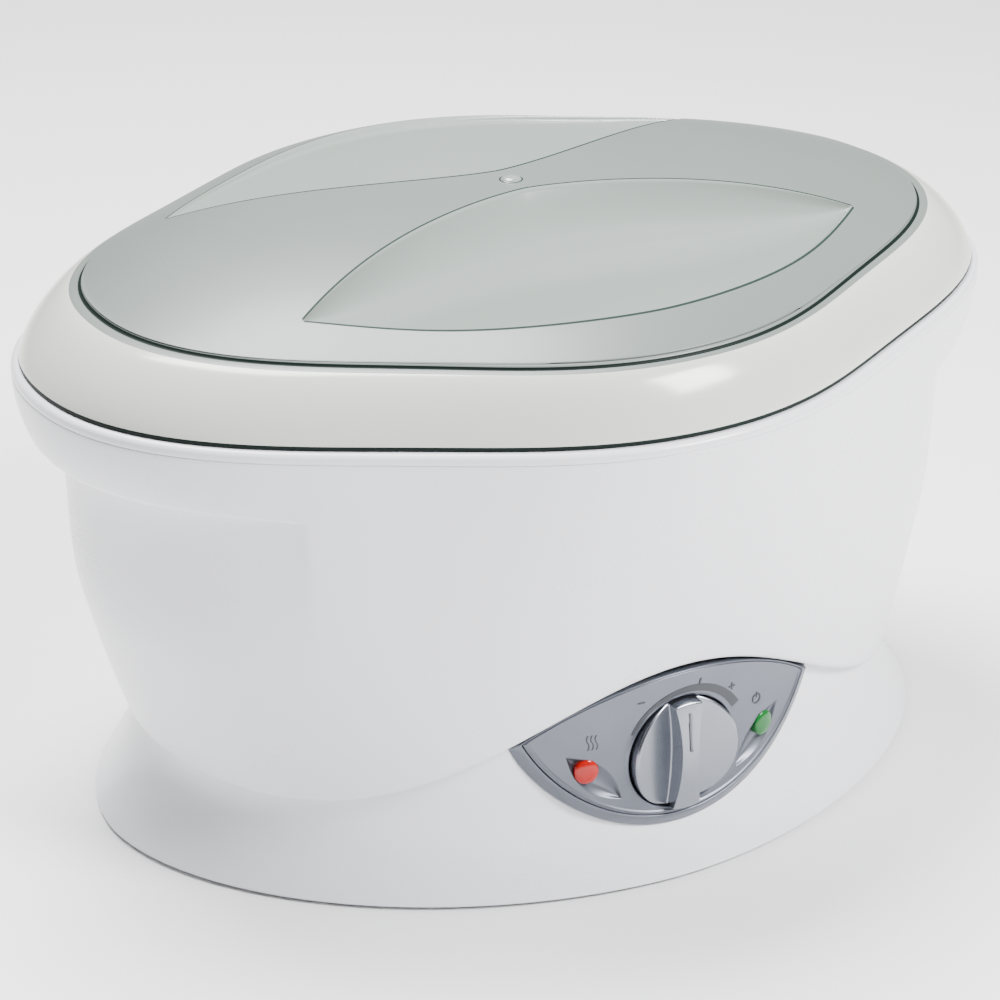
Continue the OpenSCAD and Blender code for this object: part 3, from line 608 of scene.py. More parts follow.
def lid_grid(columns=221):
    """Grid over the dome: x runs along, y is cut into bands at the ridge edge, the leaf edge and the step."""
    corner = math.radians(13)
    fine = np.linspace(corner, math.pi / 2, 2000)
    edge_x = dome_limit(fine) * np.cos(fine)
    edge_y = dome_limit(fine) * np.sin(fine)
    end = np.linspace(0, corner, 400)
    end_x, end_y = dome_limit(end) * np.cos(end), dome_limit(end) * np.sin(end)
    s = np.linspace(-1, 1, columns)[:, None]
    x0 = s * edge_x[0]
    y_max = np.interp(np.abs(x0), edge_x[::-1], edge_y[::-1])
    beyond = np.clip((np.abs(x0) - LEAF_X) / (edge_x[0] - LEAF_X), 0, 1)
    tip_y = ridge_edge(LEAF_X) * (1 - beyond) + 0.62 * y_max * beyond
    inner = np.where(np.abs(x0) < LEAF_X, ridge_edge(x0), tip_y)
    outer = np.where(np.abs(x0) < LEAF_X, np.maximum(leaf_edge(x0), inner + 0.05 * MM),
                     tip_y + 0.05 * MM + 6 * MM * beyond)
    even = np.linspace(0, 1, LEAF_ROWS)
    crowded = (1 - np.cos(math.pi * even)) / 2
    parts = [(inner - CREASE_SHADE_WIDTH) * np.linspace(0, 1, 10)[None, 1:], inner,
             inner + (outer - inner) * (0.5 * crowded + 0.5 * even)[None, 1:], outer + CREASE_SHADE_WIDTH,
             outer + CREASE_SHADE_WIDTH + (y_max - outer - CREASE_SHADE_WIDTH) * np.linspace(0, 1, 17)[None, 1:]]
    half = np.concatenate(parts, 1)
    y = np.concatenate([-half[:, ::-1], np.zeros_like(x0), half], 1)
    bow = np.interp(np.abs(y), end_y, end_x) - edge_x[0]
    x = x0 + np.sign(s) * np.abs(s) ** 8 * bow
    return x, y


# %% Lid skin
SHOULDER_FOOT = 3
SHOULDER = [(18.8, 26.42), (18.4, 26.2), (18.05, 25.8), (17.9, 25.3), (17.7, 24.9), (17.3, 24.72),
            (16.7, 24.65), (15.2, 24.0), (13.6, 22.75), (12.0, 21.0), (10.4, 18.9), (8.9, 16.6),
            (7.5, 14.1), (6.3, 11.7), (5.3, 9.3), (4.4, 6.9), (3.7, 4.6), (3.25, 2.9), (3.05, 1.9),
            (3.0, 1.3), (3.0, 0.75), (3.12, 0.42), (3.5, 0.3), (5.0, 0.3), (5.3, 0.6), (5.6, 2.6),
            (6.4, 5.2), (8.0, 10.4), (10.2, 15.4), (13.0, 19.4), (15.6, 21.9), (18.6, 23.6)]


def lid_mesh():
    """Top grid, under grid and the shoulder rings that join their outer loops into one closed skin.

    A pair in SHOULDER is an inward shift and a height over the ring, in millimetres. The shifts past the
    shoulder's foot grow with the step, so the same profile fits the wider shoulder at the two ends.
    """
    x, y = lid_grid()
    cols, rows = x.shape
    z = dome(x, y) - hollow(x, y)
    top = np.stack([x, y, z], -1)
    under = np.stack([x, y, z - LID_WALL], -1)
    index = np.arange(cols * rows).reshape(cols, rows)
    loop = border_loop(index)
    edge = top.reshape(-1, 3)[loop]
    turn = np.arctan2(edge[:, 1], edge[:, 0])
    foot_in = SHOULDER_FOOT * MM
    wider = (step_in(turn) - foot_in) / (STEP_IN - foot_in)
    ring = []
    for inward, high in SHOULDER:
        radius = rim(turn) - (foot_in + (inward - SHOULDER_FOOT) * MM * wider)
        ring.append(rings(turn, radius, RING_TOP + high * MM))
    points = np.concatenate([top.reshape(-1, 3), under.reshape(-1, 3)] + ring)
    upper = np.array(grid_faces(cols, rows, wrap_cols=False))
    lower = upper[:, ::-1] + cols * rows
    chain = np.concatenate([[loop], 2 * cols * rows + np.arange(len(ring) * len(loop)).reshape(len(ring), -1),
                            [loop + cols * rows]])
    a, b = chain[:-1], chain[1:]
    strips = np.stack([a, b, np.roll(b, -1, 1), np.roll(a, -1, 1)], -1).reshape(-1, 4)
    return points, np.concatenate([upper, lower, strips]).tolist(), len(upper) + len(lower), len(loop)


# %% Lid finishes


def paint_step_shade(material, tint, low, high):
    """Painted shade: mix a darker tint into a finish by height, share low at the ring's top, rising to high
    at the dome's edge.
    """
    tree = material.node_tree
    surface = tree.nodes["Principled BSDF"]
    source = surface.inputs["Base Color"].links[0].from_socket
    place = add(tree, "ShaderNodeTexCoord")
    apart = add(tree, "ShaderNodeSeparateXYZ")
    tree.links.new(place.outputs["Object"], apart.inputs["Vector"])
    amount = add(tree, "ShaderNodeMapRange", From_Min=float(RING_TOP), From_Max=float(DOME_EDGE),
                 To_Min=low, To_Max=high)
    tree.links.new(apart.outputs["Z"], amount.inputs["Value"])
    mix = add(tree, "ShaderNodeMix", data_type="RGBA")
    tree.links.new(amount.outputs["Result"], mix.inputs["Factor"])
    tree.links.new(source, mix.inputs[6])
    mix.inputs[7].default_value = tint
    tree.links.new(mix.outputs[2], surface.inputs["Base Color"])


FROSTED = finish_with(
    "frosted_dome", MOULDED,
    {"Tone A": (0.166, 0.191, 0.179, 1), "Tone B": (0.139, 0.162, 0.151, 1), "Mottle Scale": 9.0,
     "Rough Low": 0.34, "Rough High": 0.46, "Grain Scale": 1500.0},
    {"Coat Weight": 0.15, "Coat Roughness": 0.3}, bump=0.12)
FROSTED_EDGE = finish_with(
    "frosted_shoulder", MOULDED,
    {"Tone A": (0.72, 0.73, 0.675, 1), "Tone B": (0.69, 0.70, 0.645, 1), "Mottle Scale": 12.0,
     "Rough Low": 0.12, "Rough High": 0.2, "Grain Scale": 1500.0},
    {"Coat Weight": 0.2, "Coat Roughness": 0.2}, bump=0.08)
# Partly real, partly painted light: a glossier finish, with a lighter tone of the same plastic for the light
# and reflections in the hollows.
FROSTED_LIT_GLOSS = finish_with(
    "frosted_hollow", MOULDED,
    {"Tone A": (0.243, 0.276, 0.256, 1), "Tone B": (0.207, 0.237, 0.220, 1), "Mottle Scale": 11.0,
     "Rough Low": 0.16, "Rough High": 0.24, "Grain Scale": 1500.0},
    {"Coat Weight": 0.4, "Coat Roughness": 0.12}, bump=0.05)
# Dark painted shade for thin lines along the creases at the leaf edges and round the button's foot.
FROSTED_CREASE_SHADE = finish_with(
    "frosted_leaf_line", MOULDED,
    {"Tone A": (0.02, 0.035, 0.03, 1), "Tone B": (0.015, 0.028, 0.024, 1), "Mottle Scale": 20.0,
     "Rough Low": 0.45, "Rough High": 0.55, "Grain Scale": 1500.0}, {"Specular IOR Level": 0.15}, bump=0.05)
# Near-black painted shade for the step's drop and the lid's lower lip, where it meets the ring.
FROSTED_DEEP_SHADE = finish_with(
    "frosted_edge_line", MOULDED,
    {"Tone A": (0.008, 0.015, 0.013, 1), "Tone B": (0.006, 0.012, 0.01, 1), "Mottle Scale": 20.0,
     "Rough Low": 0.45, "Rough High": 0.55, "Grain Scale": 1500.0}, {"Specular IOR Level": 0.12}, bump=0.05)

# Painted shade on the shoulder: a grey-brown tint that darkens it towards the step.
paint_step_shade(FROSTED_EDGE, (0.33, 0.32, 0.28, 1), 0.06, 0.36)

# %% Lid zones
DOME_ZONE, SHOULDER_ZONE, DEEP_SHADE_ZONE, LEAF_ZONE, CREASE_SHADE_ZONE = range(5)
# Strips 0 to 2 carry the dome's own tone up to the step; strips 6 and 7 are a band of painted shade just
# below the step.
DOME_TONE_AND_SHADE_STRIPS = (0, 1, 2, 6, 7)
# Painted shade lines: strips 3 to 5 in the step's drop, strips 19 to 23 under the lid's outer lip.
DEEP_SHADE_STRIPS = (3, 4, 5, 19, 20, 21, 22, 23)
lid_points, lid_faces, first_strip, strip_size = lid_mesh()
lid_zone = np.full(len(lid_faces), DOME_ZONE)
centre_x, centre_y = lid_points[np.array(lid_faces)].mean(1)[:, :2].T
past_ridge = np.abs(centre_y) - ridge_edge(centre_x)
past_leaf = np.abs(centre_y) - leaf_edge(centre_x)
along_leaf = np.abs(centre_x) < LEAF_X
# Hollow faces take the lighter tone, which is painted light.
lid_zone[(past_ridge > 0) & (past_leaf < 0) & along_leaf] = LEAF_ZONE
# Painted shade: thin dark lines along both edges of each leaf, where the hollow meets the dome and the ridge.
on_crease_shade = ((past_leaf > 0) & (past_leaf < CREASE_SHADE_WIDTH)) | ((past_ridge < 0) & (past_ridge > -CREASE_SHADE_WIDTH))
lid_zone[on_crease_shade & along_leaf] = CREASE_SHADE_ZONE
strip = (np.arange(len(lid_faces)) - first_strip) // strip_size
lid_zone[first_strip:] = SHOULDER_ZONE
lid_zone[np.isin(strip, DOME_TONE_AND_SHADE_STRIPS)] = DOME_ZONE
lid_zone[np.isin(strip, DEEP_SHADE_STRIPS)] = DEEP_SHADE_ZONE
lid_cover = put("lid_cover", lid_points, lid_faces,
                [FROSTED, FROSTED_EDGE, FROSTED_DEEP_SHADE, FROSTED_LIT_GLOSS, FROSTED_CREASE_SHADE], "lid_body", zones=lid_zone)
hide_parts("lid")

# %% [markdown]
# ## The button on the ridge
# A low round button marks the middle of the ridge, where the plastic was injected. Its height follows half
# an ellipse, and a shallow moat round its foot is painted with a thin shadow line.

# %% Ridge button
NUB_R = 4 * MM
NUB_RISE = 1.5 * MM
NUB_SIDES = 64
PAINTED_SHADOW_ROWS = (2, 3)
nub_share = np.array([0.001, 0.2, 0.4, 0.6, 0.75, 0.87, 0.95, 1.0, 1.08, 1.16, 1.16, 0.001])[:, None]
nub_lift = np.array([1, 0.98, 0.92, 0.8, 0.66, 0.49, 0.31, 0.06, 0.05, 0.0, -0.9, -0.9])[:, None]
nub_turn = np.linspace(0, 2 * math.pi, NUB_SIDES, endpoint=False)
nub_top = DOME_EDGE + DOME_RISE
nub_flat = 0 * nub_turn
nub_points = rings(nub_turn, nub_share[::-1] * NUB_R + nub_flat,
                   nub_top + nub_lift[::-1] * NUB_RISE + nub_flat)
nub_faces = grid_faces(*nub_points.shape[:2], wrap_rows=True)
# The rows at the button's foot get a painted shadow line.
nub_zone = np.repeat(np.isin(np.arange(len(nub_share)), PAINTED_SHADOW_ROWS), NUB_SIDES).astype(int)
lid_button = put("lid_button", nub_points, nub_faces, [FROSTED_LIT_GLOSS, FROSTED_CREASE_SHADE], "lid_body",
                 zones=nub_zone)

# %% [markdown]
# ## Finishes of the smaller parts
# Each material below is a plain factory finish: coated pressed aluminium, zinc plate, phenolic, rubber.
# They all reuse the two groups, so only the tones and the roughness change from one part to the next.

# %% Finishes
SMALL_BUMP = 0.08


def small_finish(name, group, tone_a, tone_b, low, high, shader=None):
    """Finish from one of the groups, two tones and a roughness span."""
    settings = {"Tone A": tone_a + (1,), "Tone B": tone_b + (1,), "Rough Low": low, "Rough High": high}
    return finish_with(name, group, settings, shader, SMALL_BUMP)


def plastic(name, *look):
    """Moulded finish from two tones and a roughness span."""
    return small_finish(name, MOULDED, *look)


def metal(name, *look):
    """Brushed finish from two tones and a roughness span."""
    return small_finish(name, BRUSHED, *look, {"Metallic": 1.0})


TUB_COAT = plastic("tub_coating", (0.33, 0.34, 0.35), (0.28, 0.29, 0.3), 0.3, 0.45)
RUBBER = plastic("foot_rubber", (0.035, 0.035, 0.038), (0.025, 0.025, 0.027), 0.65, 0.8)
SILICONE = plastic("silicone", (0.72, 0.7, 0.66), (0.68, 0.66, 0.62), 0.45, 0.6)
SLATS = plastic("grate_plastic", (0.8, 0.8, 0.78), (0.76, 0.76, 0.74), 0.35, 0.5)
ZINC = metal("zinc_steel", (0.62, 0.63, 0.65), (0.52, 0.53, 0.55), 0.3, 0.45)
ALUMINIUM = metal("shield_aluminium", (0.8, 0.8, 0.81), (0.7, 0.7, 0.71), 0.3, 0.5)
SHEATH = metal("heater_sheath", (0.36, 0.34, 0.32), (0.28, 0.27, 0.26), 0.4, 0.6)
COPPER = metal("copper_bulb", (0.8, 0.45, 0.3), (0.7, 0.38, 0.25), 0.3, 0.45)
CERAMIC = plastic("ceramic_fuse", (0.82, 0.8, 0.75), (0.78, 0.76, 0.7), 0.4, 0.55)
PHENOLIC = plastic("bakelite", (0.09, 0.06, 0.05), (0.07, 0.05, 0.04), 0.35, 0.5)
GLASS_BEAD = plastic("lamp_glass", (0.8, 0.5, 0.35), (0.75, 0.45, 0.3), 0.1, 0.2)
GREY_PLASTIC = plastic("grey_plastic", (0.3, 0.31, 0.32), (0.26, 0.27, 0.28), 0.4, 0.55)
SLEEVE = plastic("wire_sleeve", (0.75, 0.74, 0.7), (0.7, 0.69, 0.65), 0.45, 0.6)
PRINT = plastic("scale_print", (0.03, 0.033, 0.04), (0.024, 0.027, 0.033), 0.35, 0.5)
POINTER = plastic("pointer_print", (0.1, 0.105, 0.115), (0.08, 0.085, 0.095), 0.3, 0.4)


def dress(material, *nodes):
    """Give CAD nodes a finish through their own material slots."""
    for node in nodes:
        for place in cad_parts[node].material_slots:
            place.link = "OBJECT"
            place.material = material


dress(SILICONE, "tub_gasket")
dress(SLATS, "grate")
dress(GREY_PLASTIC, "base_plate", "lamp_holder", "cord_bush", "cord_clamp", "terminal_block")
dress(RUBBER, "feet")
dress(ZINC, "foot_screws", "tub_studs", "stud_nuts", "heater_clamps", "thermostat_shaft", "thermostat_nut",
      "clamp_screws")
dress(ALUMINIUM, "heat_shield")
dress(SHEATH, "heater_element")
dress(COPPER, "sensor_bulb")
dress(CERAMIC, "thermal_fuse")
dress(PHENOLIC, "thermostat_body")
dress(GLASS_BEAD, "signal_lamps")
dress(SLEEVE, "internal_wires")
dress(PRINT, "dial_scale", "panel_icons")
dress(POINTER, "knob_pointer")

# %% [markdown]
# ## The control panel
# The panel is a leaf of silver plastic bent round an upright axis. Two almond dimples hold the lamps and a
# round well holds the knob. A boolean could cut these, but it leaves hard edges. A grid of rays from the
# knob's axis to the leaf's edge takes the dimples as a formula and still ends exactly in the two sharp tips.

# %% Panel surface
KNOB_Z = 52 * MM
KNOB_R = 22.5 * MM
WELL_R = KNOB_R + 0.6 * MM
WELL_DEPTH = 5 * MM
PANEL_T = 3.5 * MM
LENS_X = 39 * MM
LENS_Z = KNOB_Z - 0.5 * MM
DIMPLE_X, DIMPLE_Z = 35.8 * MM, 47.9 * MM
DIMPLE_HALF, DIMPLE_WIDTH, DIMPLE_DEPTH = 14.6 * MM, 5.4 * MM, 2.6 * MM
DIMPLE_TILT = 44
LEAF_RAYS = 640
LOW_C = PANEL_LOW + LOW_R
HIGH_C = PANEL_HIGH - HIGH_R


def face_y(x):
    """Front of the panel: a cylinder about the upright axis."""
    return AXIS_Y - np.sqrt(PANEL_R ** 2 - x ** 2)


def ray_end(angle, centre, radius):
    """Distance from the knob axis to a circle about (0, centre): the positive root of the ray's quadratic."""
    along = (KNOB_Z - centre) * np.sin(angle)
    return -along + np.sqrt(along ** 2 - (KNOB_Z - centre) ** 2 + radius ** 2)


def leaf_end(angle, low_in, high_in):
    """Distance from the knob axis to the leaf's edge, pulled in from the lower and the upper arc."""
    return np.minimum(ray_end(angle, LOW_C, LOW_R - low_in), ray_end(angle, HIGH_C, HIGH_R - high_in))


def leaf_angles(low_in, high_in, count):
    """Ray angles for a leaf; two of them hit its tips exactly."""
    r1, r2 = LOW_R - low_in, HIGH_R - high_in
    z = (r1 ** 2 - r2 ** 2 - LOW_C ** 2 + HIGH_C ** 2) / (2 * (HIGH_C - LOW_C))
    x = math.sqrt(r1 ** 2 - (z - LOW_C) ** 2)
    tip = math.atan2(z - KNOB_Z, x)
    upper = np.linspace(tip, math.pi - tip, count // 2, endpoint=False)
    lower = np.linspace(math.pi - tip, 2 * math.pi + tip, count - count // 2, endpoint=False)
    return np.concatenate([upper, lower])


def almond(x, z, side):
    """Dimple depth of one lamp: a tilted almond between two arcs, deepest in its middle."""
    tilt = math.radians(DIMPLE_TILT * side)
    right, up = x - side * DIMPLE_X, z - DIMPLE_Z
    u = right * math.cos(tilt) + up * math.sin(tilt)
    v = -right * math.sin(tilt) + up * math.cos(tilt)
    inside = np.clip(1 - (u / DIMPLE_HALF) ** 2, 0, 1)
    width = DIMPLE_WIDTH * inside + 1e-9
    return DIMPLE_DEPTH * np.clip(1 - (v / width) ** 2, 0, 1) ** 1.2 * inside ** 0.5


def panel_point(x, z, back=0.0):
    """Point on the panel: the cylinder, pushed in by the dimples and by an extra depth."""
    return np.stack([x, face_y(x) + back + almond(x, z, -1) + almond(x, z, 1), z], -1)


def panel_insert_mesh():
    """Rows: well floor to well wall, collar, face out to a fine raised line, edge, back and in again."""
    low_in, high_in = 4.7 * MM, 1.4 * MM
    angle = leaf_angles(low_in, high_in, LEAF_RAYS)
    end = leaf_end(angle, low_in, high_in)
    c, s = np.cos(angle), np.sin(angle)
    flat = lambda r, depth: np.stack([r * c, np.full_like(c, PANEL_Y + depth), KNOB_Z + r * s], -1)
    rows = [flat(6 * MM, WELL_DEPTH + 2 * MM), flat(6 * MM, WELL_DEPTH), flat(WELL_R - 0.4 * MM, WELL_DEPTH),
            flat(WELL_R, WELL_DEPTH - 0.4 * MM), flat(WELL_R, 1.2 * MM), flat(WELL_R + 0.08 * MM, 0.85 * MM),
            flat(WELL_R + 0.35 * MM, 0.62 * MM), flat(WELL_R + 0.8 * MM, 0.6 * MM)]
    start = WELL_R + 1.1 * MM
    for share in np.linspace(0, 1, 90):
        r = start + (end - start) * share
        x, z = r * c, KNOB_Z + r * s
        line = LOW_R - low_in - np.hypot(x, z - LOW_C)
        ridge = 0.6 * MM * np.exp(-((line - 1.5 * MM) / (0.42 * MM)) ** 2)
        edge = 0.5 * MM * np.clip(1 - line / (0.5 * MM), 0, 1) ** 2
        rows.append(panel_point(x, z) + np.stack([0 * x, edge - ridge * (line < 6 * MM), 0 * x], -1))
    x, z = end * c, KNOB_Z + end * s
    rows += [panel_point(x, z, PANEL_T), panel_point(0.6 * x, KNOB_Z + 0.6 * (z - KNOB_Z), PANEL_T),
             flat(WELL_R + 1.0 * MM, WELL_DEPTH + 1 * MM), flat(WELL_R + 0.6 * MM, WELL_DEPTH + 2 * MM)]
    points = np.stack(rows)
    return points, grid_faces(*points.shape[:2], wrap_rows=True)


SILVER = finish_with(
    "silver_satin_paint", MOULDED,
    {"Tone A": (0.15, 0.16, 0.19, 1), "Tone B": (0.12, 0.13, 0.157, 1), "Mottle Scale": 60.0,
     "Rough Low": 0.3, "Rough High": 0.42, "Grain Scale": 3500.0},
    {"Metallic": 0.85, "Coat Weight": 0.2, "Coat Roughness": 0.2}, bump=0.15)
SILVER_BRIGHT = finish_with(
    "silver_bright_paint", MOULDED,
    {"Tone A": (0.27, 0.283, 0.315, 1), "Tone B": (0.23, 0.243, 0.275, 1), "Mottle Scale": 60.0,
     "Rough Low": 0.2, "Rough High": 0.3, "Grain Scale": 1500.0},
    {"Metallic": 0.95, "Coat Weight": 0.1, "Coat Roughness": 0.15}, bump=0.1)
panel_insert = put("panel_insert", *panel_insert_mesh(), SILVER, "shell")
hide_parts("control_panel")

# %% [markdown]
# ## The panel's border
# A bevelled band runs along the lower edge of the leaf and a very thin one along the upper edge. It is a
# separate frame in the same silver as the panel, so the panel reads as inlaid.

# %% Panel border


def panel_border_mesh():
    """A bevelled profile carried round the leaf, each row given by its pull from both arcs and its depth."""
    angle = leaf_angles(0, 0, LEAF_RAYS)
    c, s = np.cos(angle), np.sin(angle)

    def row(low_in, high_in, back):
        r = leaf_end(angle, low_in * MM, high_in * MM)
        x = r * c
        return np.stack([x, face_y(x) + back * MM, KNOB_Z + r * s], -1)

    rows = [row(0, 0, 3.4), row(0, 0, 1.7), row(0.25, 0.1, 1.35), row(3.2, 0.5, 0.25), row(3.7, 0.6, 0.0),
            row(4.3, 1.0, 0.0), row(4.5, 1.2, 0.3), row(4.5, 1.2, 3.4)]
    points = np.stack(rows)[:, ::-1]
    return points, grid_faces(*points.shape[:2], wrap_rows=True)


panel_border = put("panel_border", *panel_border_mesh(), SILVER, "shell")
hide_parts("panel_frame")

# %% [markdown]
# ## The knob
# The knob is a low dome with two scoops that leave a grip with a slight waist. The scoop walls must stay
# sharp, so the grid follows them: every row of points runs from the grip's middle to its side edge, drops
# down the wall on one spot, then climbs the sloping floor to the round rim.

# %% Knob surface
KNOB_OUT = 6.2 * MM
KNOB_BACK = PANEL_Y + 4.4 * MM
CREST_R = 100 * MM
WAIST = 3.7 * MM
WAIST_R = 108 * MM
RIM_DROP = 2 * MM
SCOOP_FLOOR = 1.9 * MM


def grip_half(z):
    """Half width of the grip at a height over the axis: a waist between two large circles."""
    return WAIST_R + WAIST - np.sqrt(WAIST_R ** 2 - z ** 2)


def crest(x, z):
    """Forward height of the dome over the panel face, from a sphere."""
    return KNOB_OUT - (x ** 2 + z ** 2) / (2 * CREST_R)


def scoop(x):
    """Forward height of the scoop floor: straight climb from behind the panel face to just under the rim."""
    share = (np.abs(x) - WAIST) / (KNOB_R - WAIST)
    return -SCOOP_FLOOR + (KNOB_OUT - RIM_DROP + SCOOP_FLOOR) * share


def knob_mesh(rows=121):
    """Front grid over the disc with crisp scoop walls, a rounded side and a flat back."""
    z = KNOB_R * 0.9985 * np.sin(np.linspace(-math.pi / 2, math.pi / 2, rows))[:, None]
    end = np.sqrt(KNOB_R ** 2 - z ** 2)
    half = np.minimum(grip_half(z), 0.86 * end)
    soft = 0.35 * MM
    inner = (half - soft) * np.linspace(0, 1, 12)[None, :]
    bend = np.radians([18, 36, 54, 72, 90])[None, :]
    turned = half - soft + soft * np.sin(bend)
    drop = soft * (1 - np.cos(bend))
    out = half + (end - half) * np.linspace(0.0, 1, 40)[None, 1:]
    y_in, y_turn = crest(inner, z), crest(turned, z) - drop
    floor = np.minimum(scoop(out), crest(out, z))
    fillet = np.clip(1 - (out - half) / (0.8 * MM), 0, 1) ** 2 * 0.5 * MM
    y_out = np.minimum(floor + fillet, crest(out, z))
    wall = np.broadcast_to(half + 0.02 * MM, (rows, 6))
    foot_of_wall = np.minimum(scoop(half + 0.02 * MM) + 0.75 * MM, y_turn[:, -1:])
    y_wall = y_turn[:, -1:] + (foot_of_wall - y_turn[:, -1:]) * np.linspace(0, 1, 7)[None, 1:]
    x_half = np.concatenate([inner, turned, wall, out], 1)
    y_half = np.concatenate([y_in, y_turn, y_wall, y_out], 1)
    x = np.concatenate([-x_half[:, :0:-1], x_half], 1)
    up = np.concatenate([y_half[:, :0:-1], y_half], 1)
    reach = np.hypot(x, np.broadcast_to(z, x.shape))
    up = up - 0.7 * MM * np.clip((reach - KNOB_R + 0.9 * MM) / (0.9 * MM), 0, 1) ** 2
    groove = (np.abs(x) < 0.8 * MM) & (z > 3 * MM) & (z < KNOB_R - 4 * MM)
    up = up - 0.5 * MM * groove
    front = np.stack([x, PANEL_Y - up, KNOB_Z + np.broadcast_to(z, x.shape)], -1)
    r, c = x.shape
    index = np.arange(r * c).reshape(r, c)
    loop = border_loop(index)
    edge = front.reshape(-1, 3)[loop]
    side = []
    for inward, depth in ((0.0, 0.15), (0.0, 0.5), (0.0, 1.0), (0.6 * MM, 1.0), (15 * MM, 1.0)):
        ring = edge.copy()
        away = np.hypot(edge[:, 0], edge[:, 2] - KNOB_Z)
        ring[:, 0] *= (KNOB_R - inward) / away
        ring[:, 2] = KNOB_Z + (edge[:, 2] - KNOB_Z) * (KNOB_R - inward) / away
        ring[:, 1] = edge[:, 1] + (KNOB_BACK - edge[:, 1]) * depth
        side.append(ring)
    points = np.concatenate([front.reshape(-1, 3)] + side + [np.array([[0, KNOB_BACK, KNOB_Z]])])
    chain = np.concatenate([[loop], r * c + np.arange(len(side) * len(loop)).reshape(len(side), -1)])
    strips = np.stack([chain[:-1], np.roll(chain[:-1], -1, 1), np.roll(chain[1:], -1, 1), chain[1:]], -1)
    last = chain[-1]
    cap = np.stack([last, np.roll(last, -1), np.full_like(last, len(points) - 1)], 1)
    return points, grid_faces(r, c, wrap_cols=False) + strips.reshape(-1, 4).tolist() + cap.tolist()


def face_outwards(obj):
    """Make every face of a closed piece point outwards."""
    work = bmesh.new()
    work.from_mesh(obj.data)
    bmesh.ops.recalc_face_normals(work, faces=work.faces)
    work.to_mesh(obj.data)
    work.free()


dial_knob = put("dial_knob", *knob_mesh(), SILVER_BRIGHT, "knob_body")
face_outwards(dial_knob)
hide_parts("knob")

# %% [markdown]
# ## The signal lamps
# Each lamp shows as a small clear bead of coloured plastic, a little taller than wide. Its glow is faint,
# because the bath is switched on only in use, but the plastic is deep and glossy.

# %% Lamp beads
LENS_R = 5.2 * MM * 0.97
BEAD_SIDES = 72


def bead(name, side, tone):
    """Domed bead and its material: rings about the lamp axis, flattened like a drop towards the edge."""
    material = finish_with(
        name + "_plastic", MOULDED,
        {"Tone A": tone, "Tone B": tuple(0.8 * v for v in tone[:3]) + (1,), "Mottle Scale": 260.0,
         "Rough Low": 0.12, "Rough High": 0.2, "Grain Scale": 2500.0},
        {"Coat Weight": 0.25, "Coat Roughness": 0.04, "Specular IOR Level": 0.3, "Emission Strength": 0.02,
         "Emission Color": tone}, bump=0.05)
    lean = math.asin(side * LENS_X / PANEL_R)
    centre = np.array([side * LENS_X, float(face_y(LENS_X)), LENS_Z])
    across = np.array([math.cos(lean), math.sin(lean), 0])
    ahead = np.array([math.sin(lean), -math.cos(lean), 0])
    turn = np.linspace(0, 2 * math.pi, BEAD_SIDES, endpoint=False)[None, :, None]
    rows = [(0.001, -6.0), (0.99, -6.0), (1.0, -5.8), (1.0, -0.2)]
    rows += [(math.cos(a), 1.5 * math.sin(a)) for a in np.radians(np.linspace(6, 89.9, 18))]
    radius = np.array([r for r, _ in rows])[:, None, None] * LENS_R
    out = np.array([h for _, h in rows])[:, None, None] * MM
    points = (centre + radius * 0.93 * np.cos(turn) * across + radius * np.sin(turn) * np.array([0, 0, 1.0])
              + out * ahead)
    faces = grid_faces(len(rows), BEAD_SIDES)
    last_ring = range((len(rows) - 1) * BEAD_SIDES, len(rows) * BEAD_SIDES)
    faces += [list(range(BEAD_SIDES))[::-1], list(last_ring)]
    obj = put(name, points, faces, material, "shell")
    face_outwards(obj)
    return obj


red_bead = bead("red_bead", -1, (0.42, 0.003, 0.001, 1))
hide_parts("red_lamp_lens")
green_bead = bead("green_bead", 1, (0.004, 0.14, 0.02, 1))
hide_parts("green_lamp_lens")

# %% [markdown]
# ## The tub
# The tub is pressed from thin aluminium and coated. It is a bowl whose wall blends from the flat floor's
# oval up to the rim outline, with a flange that rests on the housing. It is made of stacked rings again.

# %% Tub
TUB_BOX = np.array(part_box("tub"))
TUB_Z = TUB_BOX[0][2]
FLANGE_Z = SEAM_Z - 3 * MM
TUB_WALL = 1.6 * MM
TUB_A, TUB_B = 140 * MM, 100 * MM
TUB_TOP_IN = REACH - LIP - TUB_WALL - 1.5 * MM
TUB_POWER = 2.1
MIDDLE_R = 1 * MM


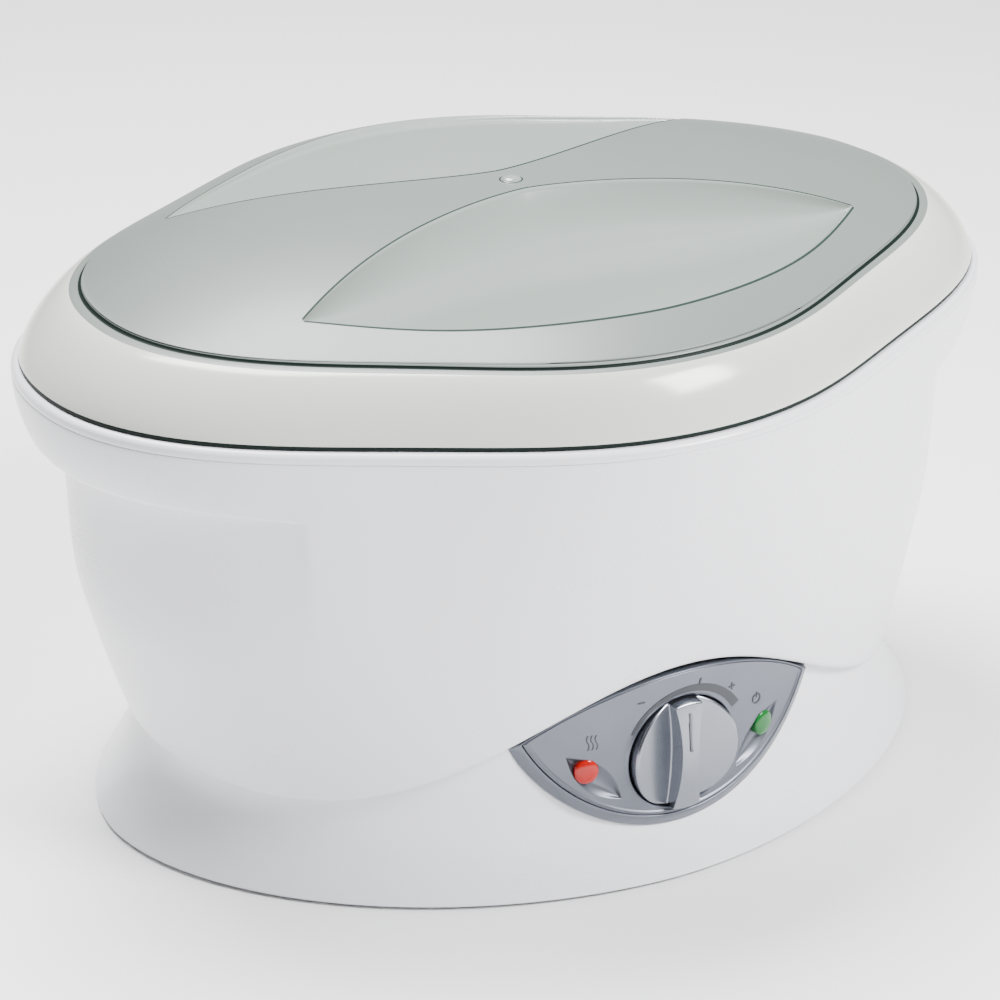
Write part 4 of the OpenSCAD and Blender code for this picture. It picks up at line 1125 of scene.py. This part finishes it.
def tub_rows():
    """Underside from the middle out to the flange edge, then the inside back to the middle."""
    turn = AROUND[None, :]

    def flank(share, inward):
        floor_line = oval(TUB_A + 7 * MM, TUB_B + 7 * MM, TUB_POWER, turn)
        return (rim(turn) - TUB_TOP_IN) * share + floor_line * (1 - share) - inward

    corner = np.radians(np.linspace(0, 80, 8))[:, None]
    floor_edge = oval(TUB_A, TUB_B, TUB_POWER, turn)
    low = TUB_Z + 8 * MM
    share = np.linspace(0, 1, 14)[:, None]

    def side(inward, lift):
        r_round = floor_edge - inward + 6.2 * MM * np.sin(corner)
        z_round = TUB_Z + lift + 7 * MM * (1 - np.cos(corner)) + 0 * turn
        r_flank = flank(share, inward)
        z_flank = low + lift * (1 - share) + share * (SEAM_Z - 6 * MM - low) + 0 * turn
        return np.concatenate([r_round, r_flank]), np.concatenate([z_round, z_flank])

    under_r, under_z = side(0, 0)
    inner_r, inner_z = side(TUB_WALL, TUB_WALL)
    flange = skin(turn, FLANGE_Z + 0 * turn) - WALL - 0.5 * MM
    neck = flank(1.0, 0.0)
    radius = np.concatenate([MIDDLE_R + 0 * turn, 0.5 * floor_edge, under_r, neck, neck + 0.4 * MM,
                             flange, flange, neck - TUB_WALL + 1.2 * MM, neck - TUB_WALL + 0.3 * MM,
                             neck - TUB_WALL, inner_r[::-1], 0.5 * floor_edge, MIDDLE_R + 0 * turn])
    flat = lambda z: np.full_like(turn, z)
    height = np.concatenate([flat(TUB_Z), flat(TUB_Z), under_z, flat(FLANGE_Z - 0.5 * MM), flat(FLANGE_Z),
                             flat(FLANGE_Z), flat(FLANGE_Z + TUB_WALL), flat(FLANGE_Z + TUB_WALL),
                             flat(FLANGE_Z + TUB_WALL - 0.3 * MM), flat(FLANGE_Z + TUB_WALL - 1.2 * MM),
                             inner_z[::-1], flat(TUB_Z + TUB_WALL), flat(TUB_Z + TUB_WALL)])
    return radius, height


tub_bowl = hollow_shell("tub_bowl", AROUND, *tub_rows(), TUB_COAT, "shell")
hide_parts("tub")
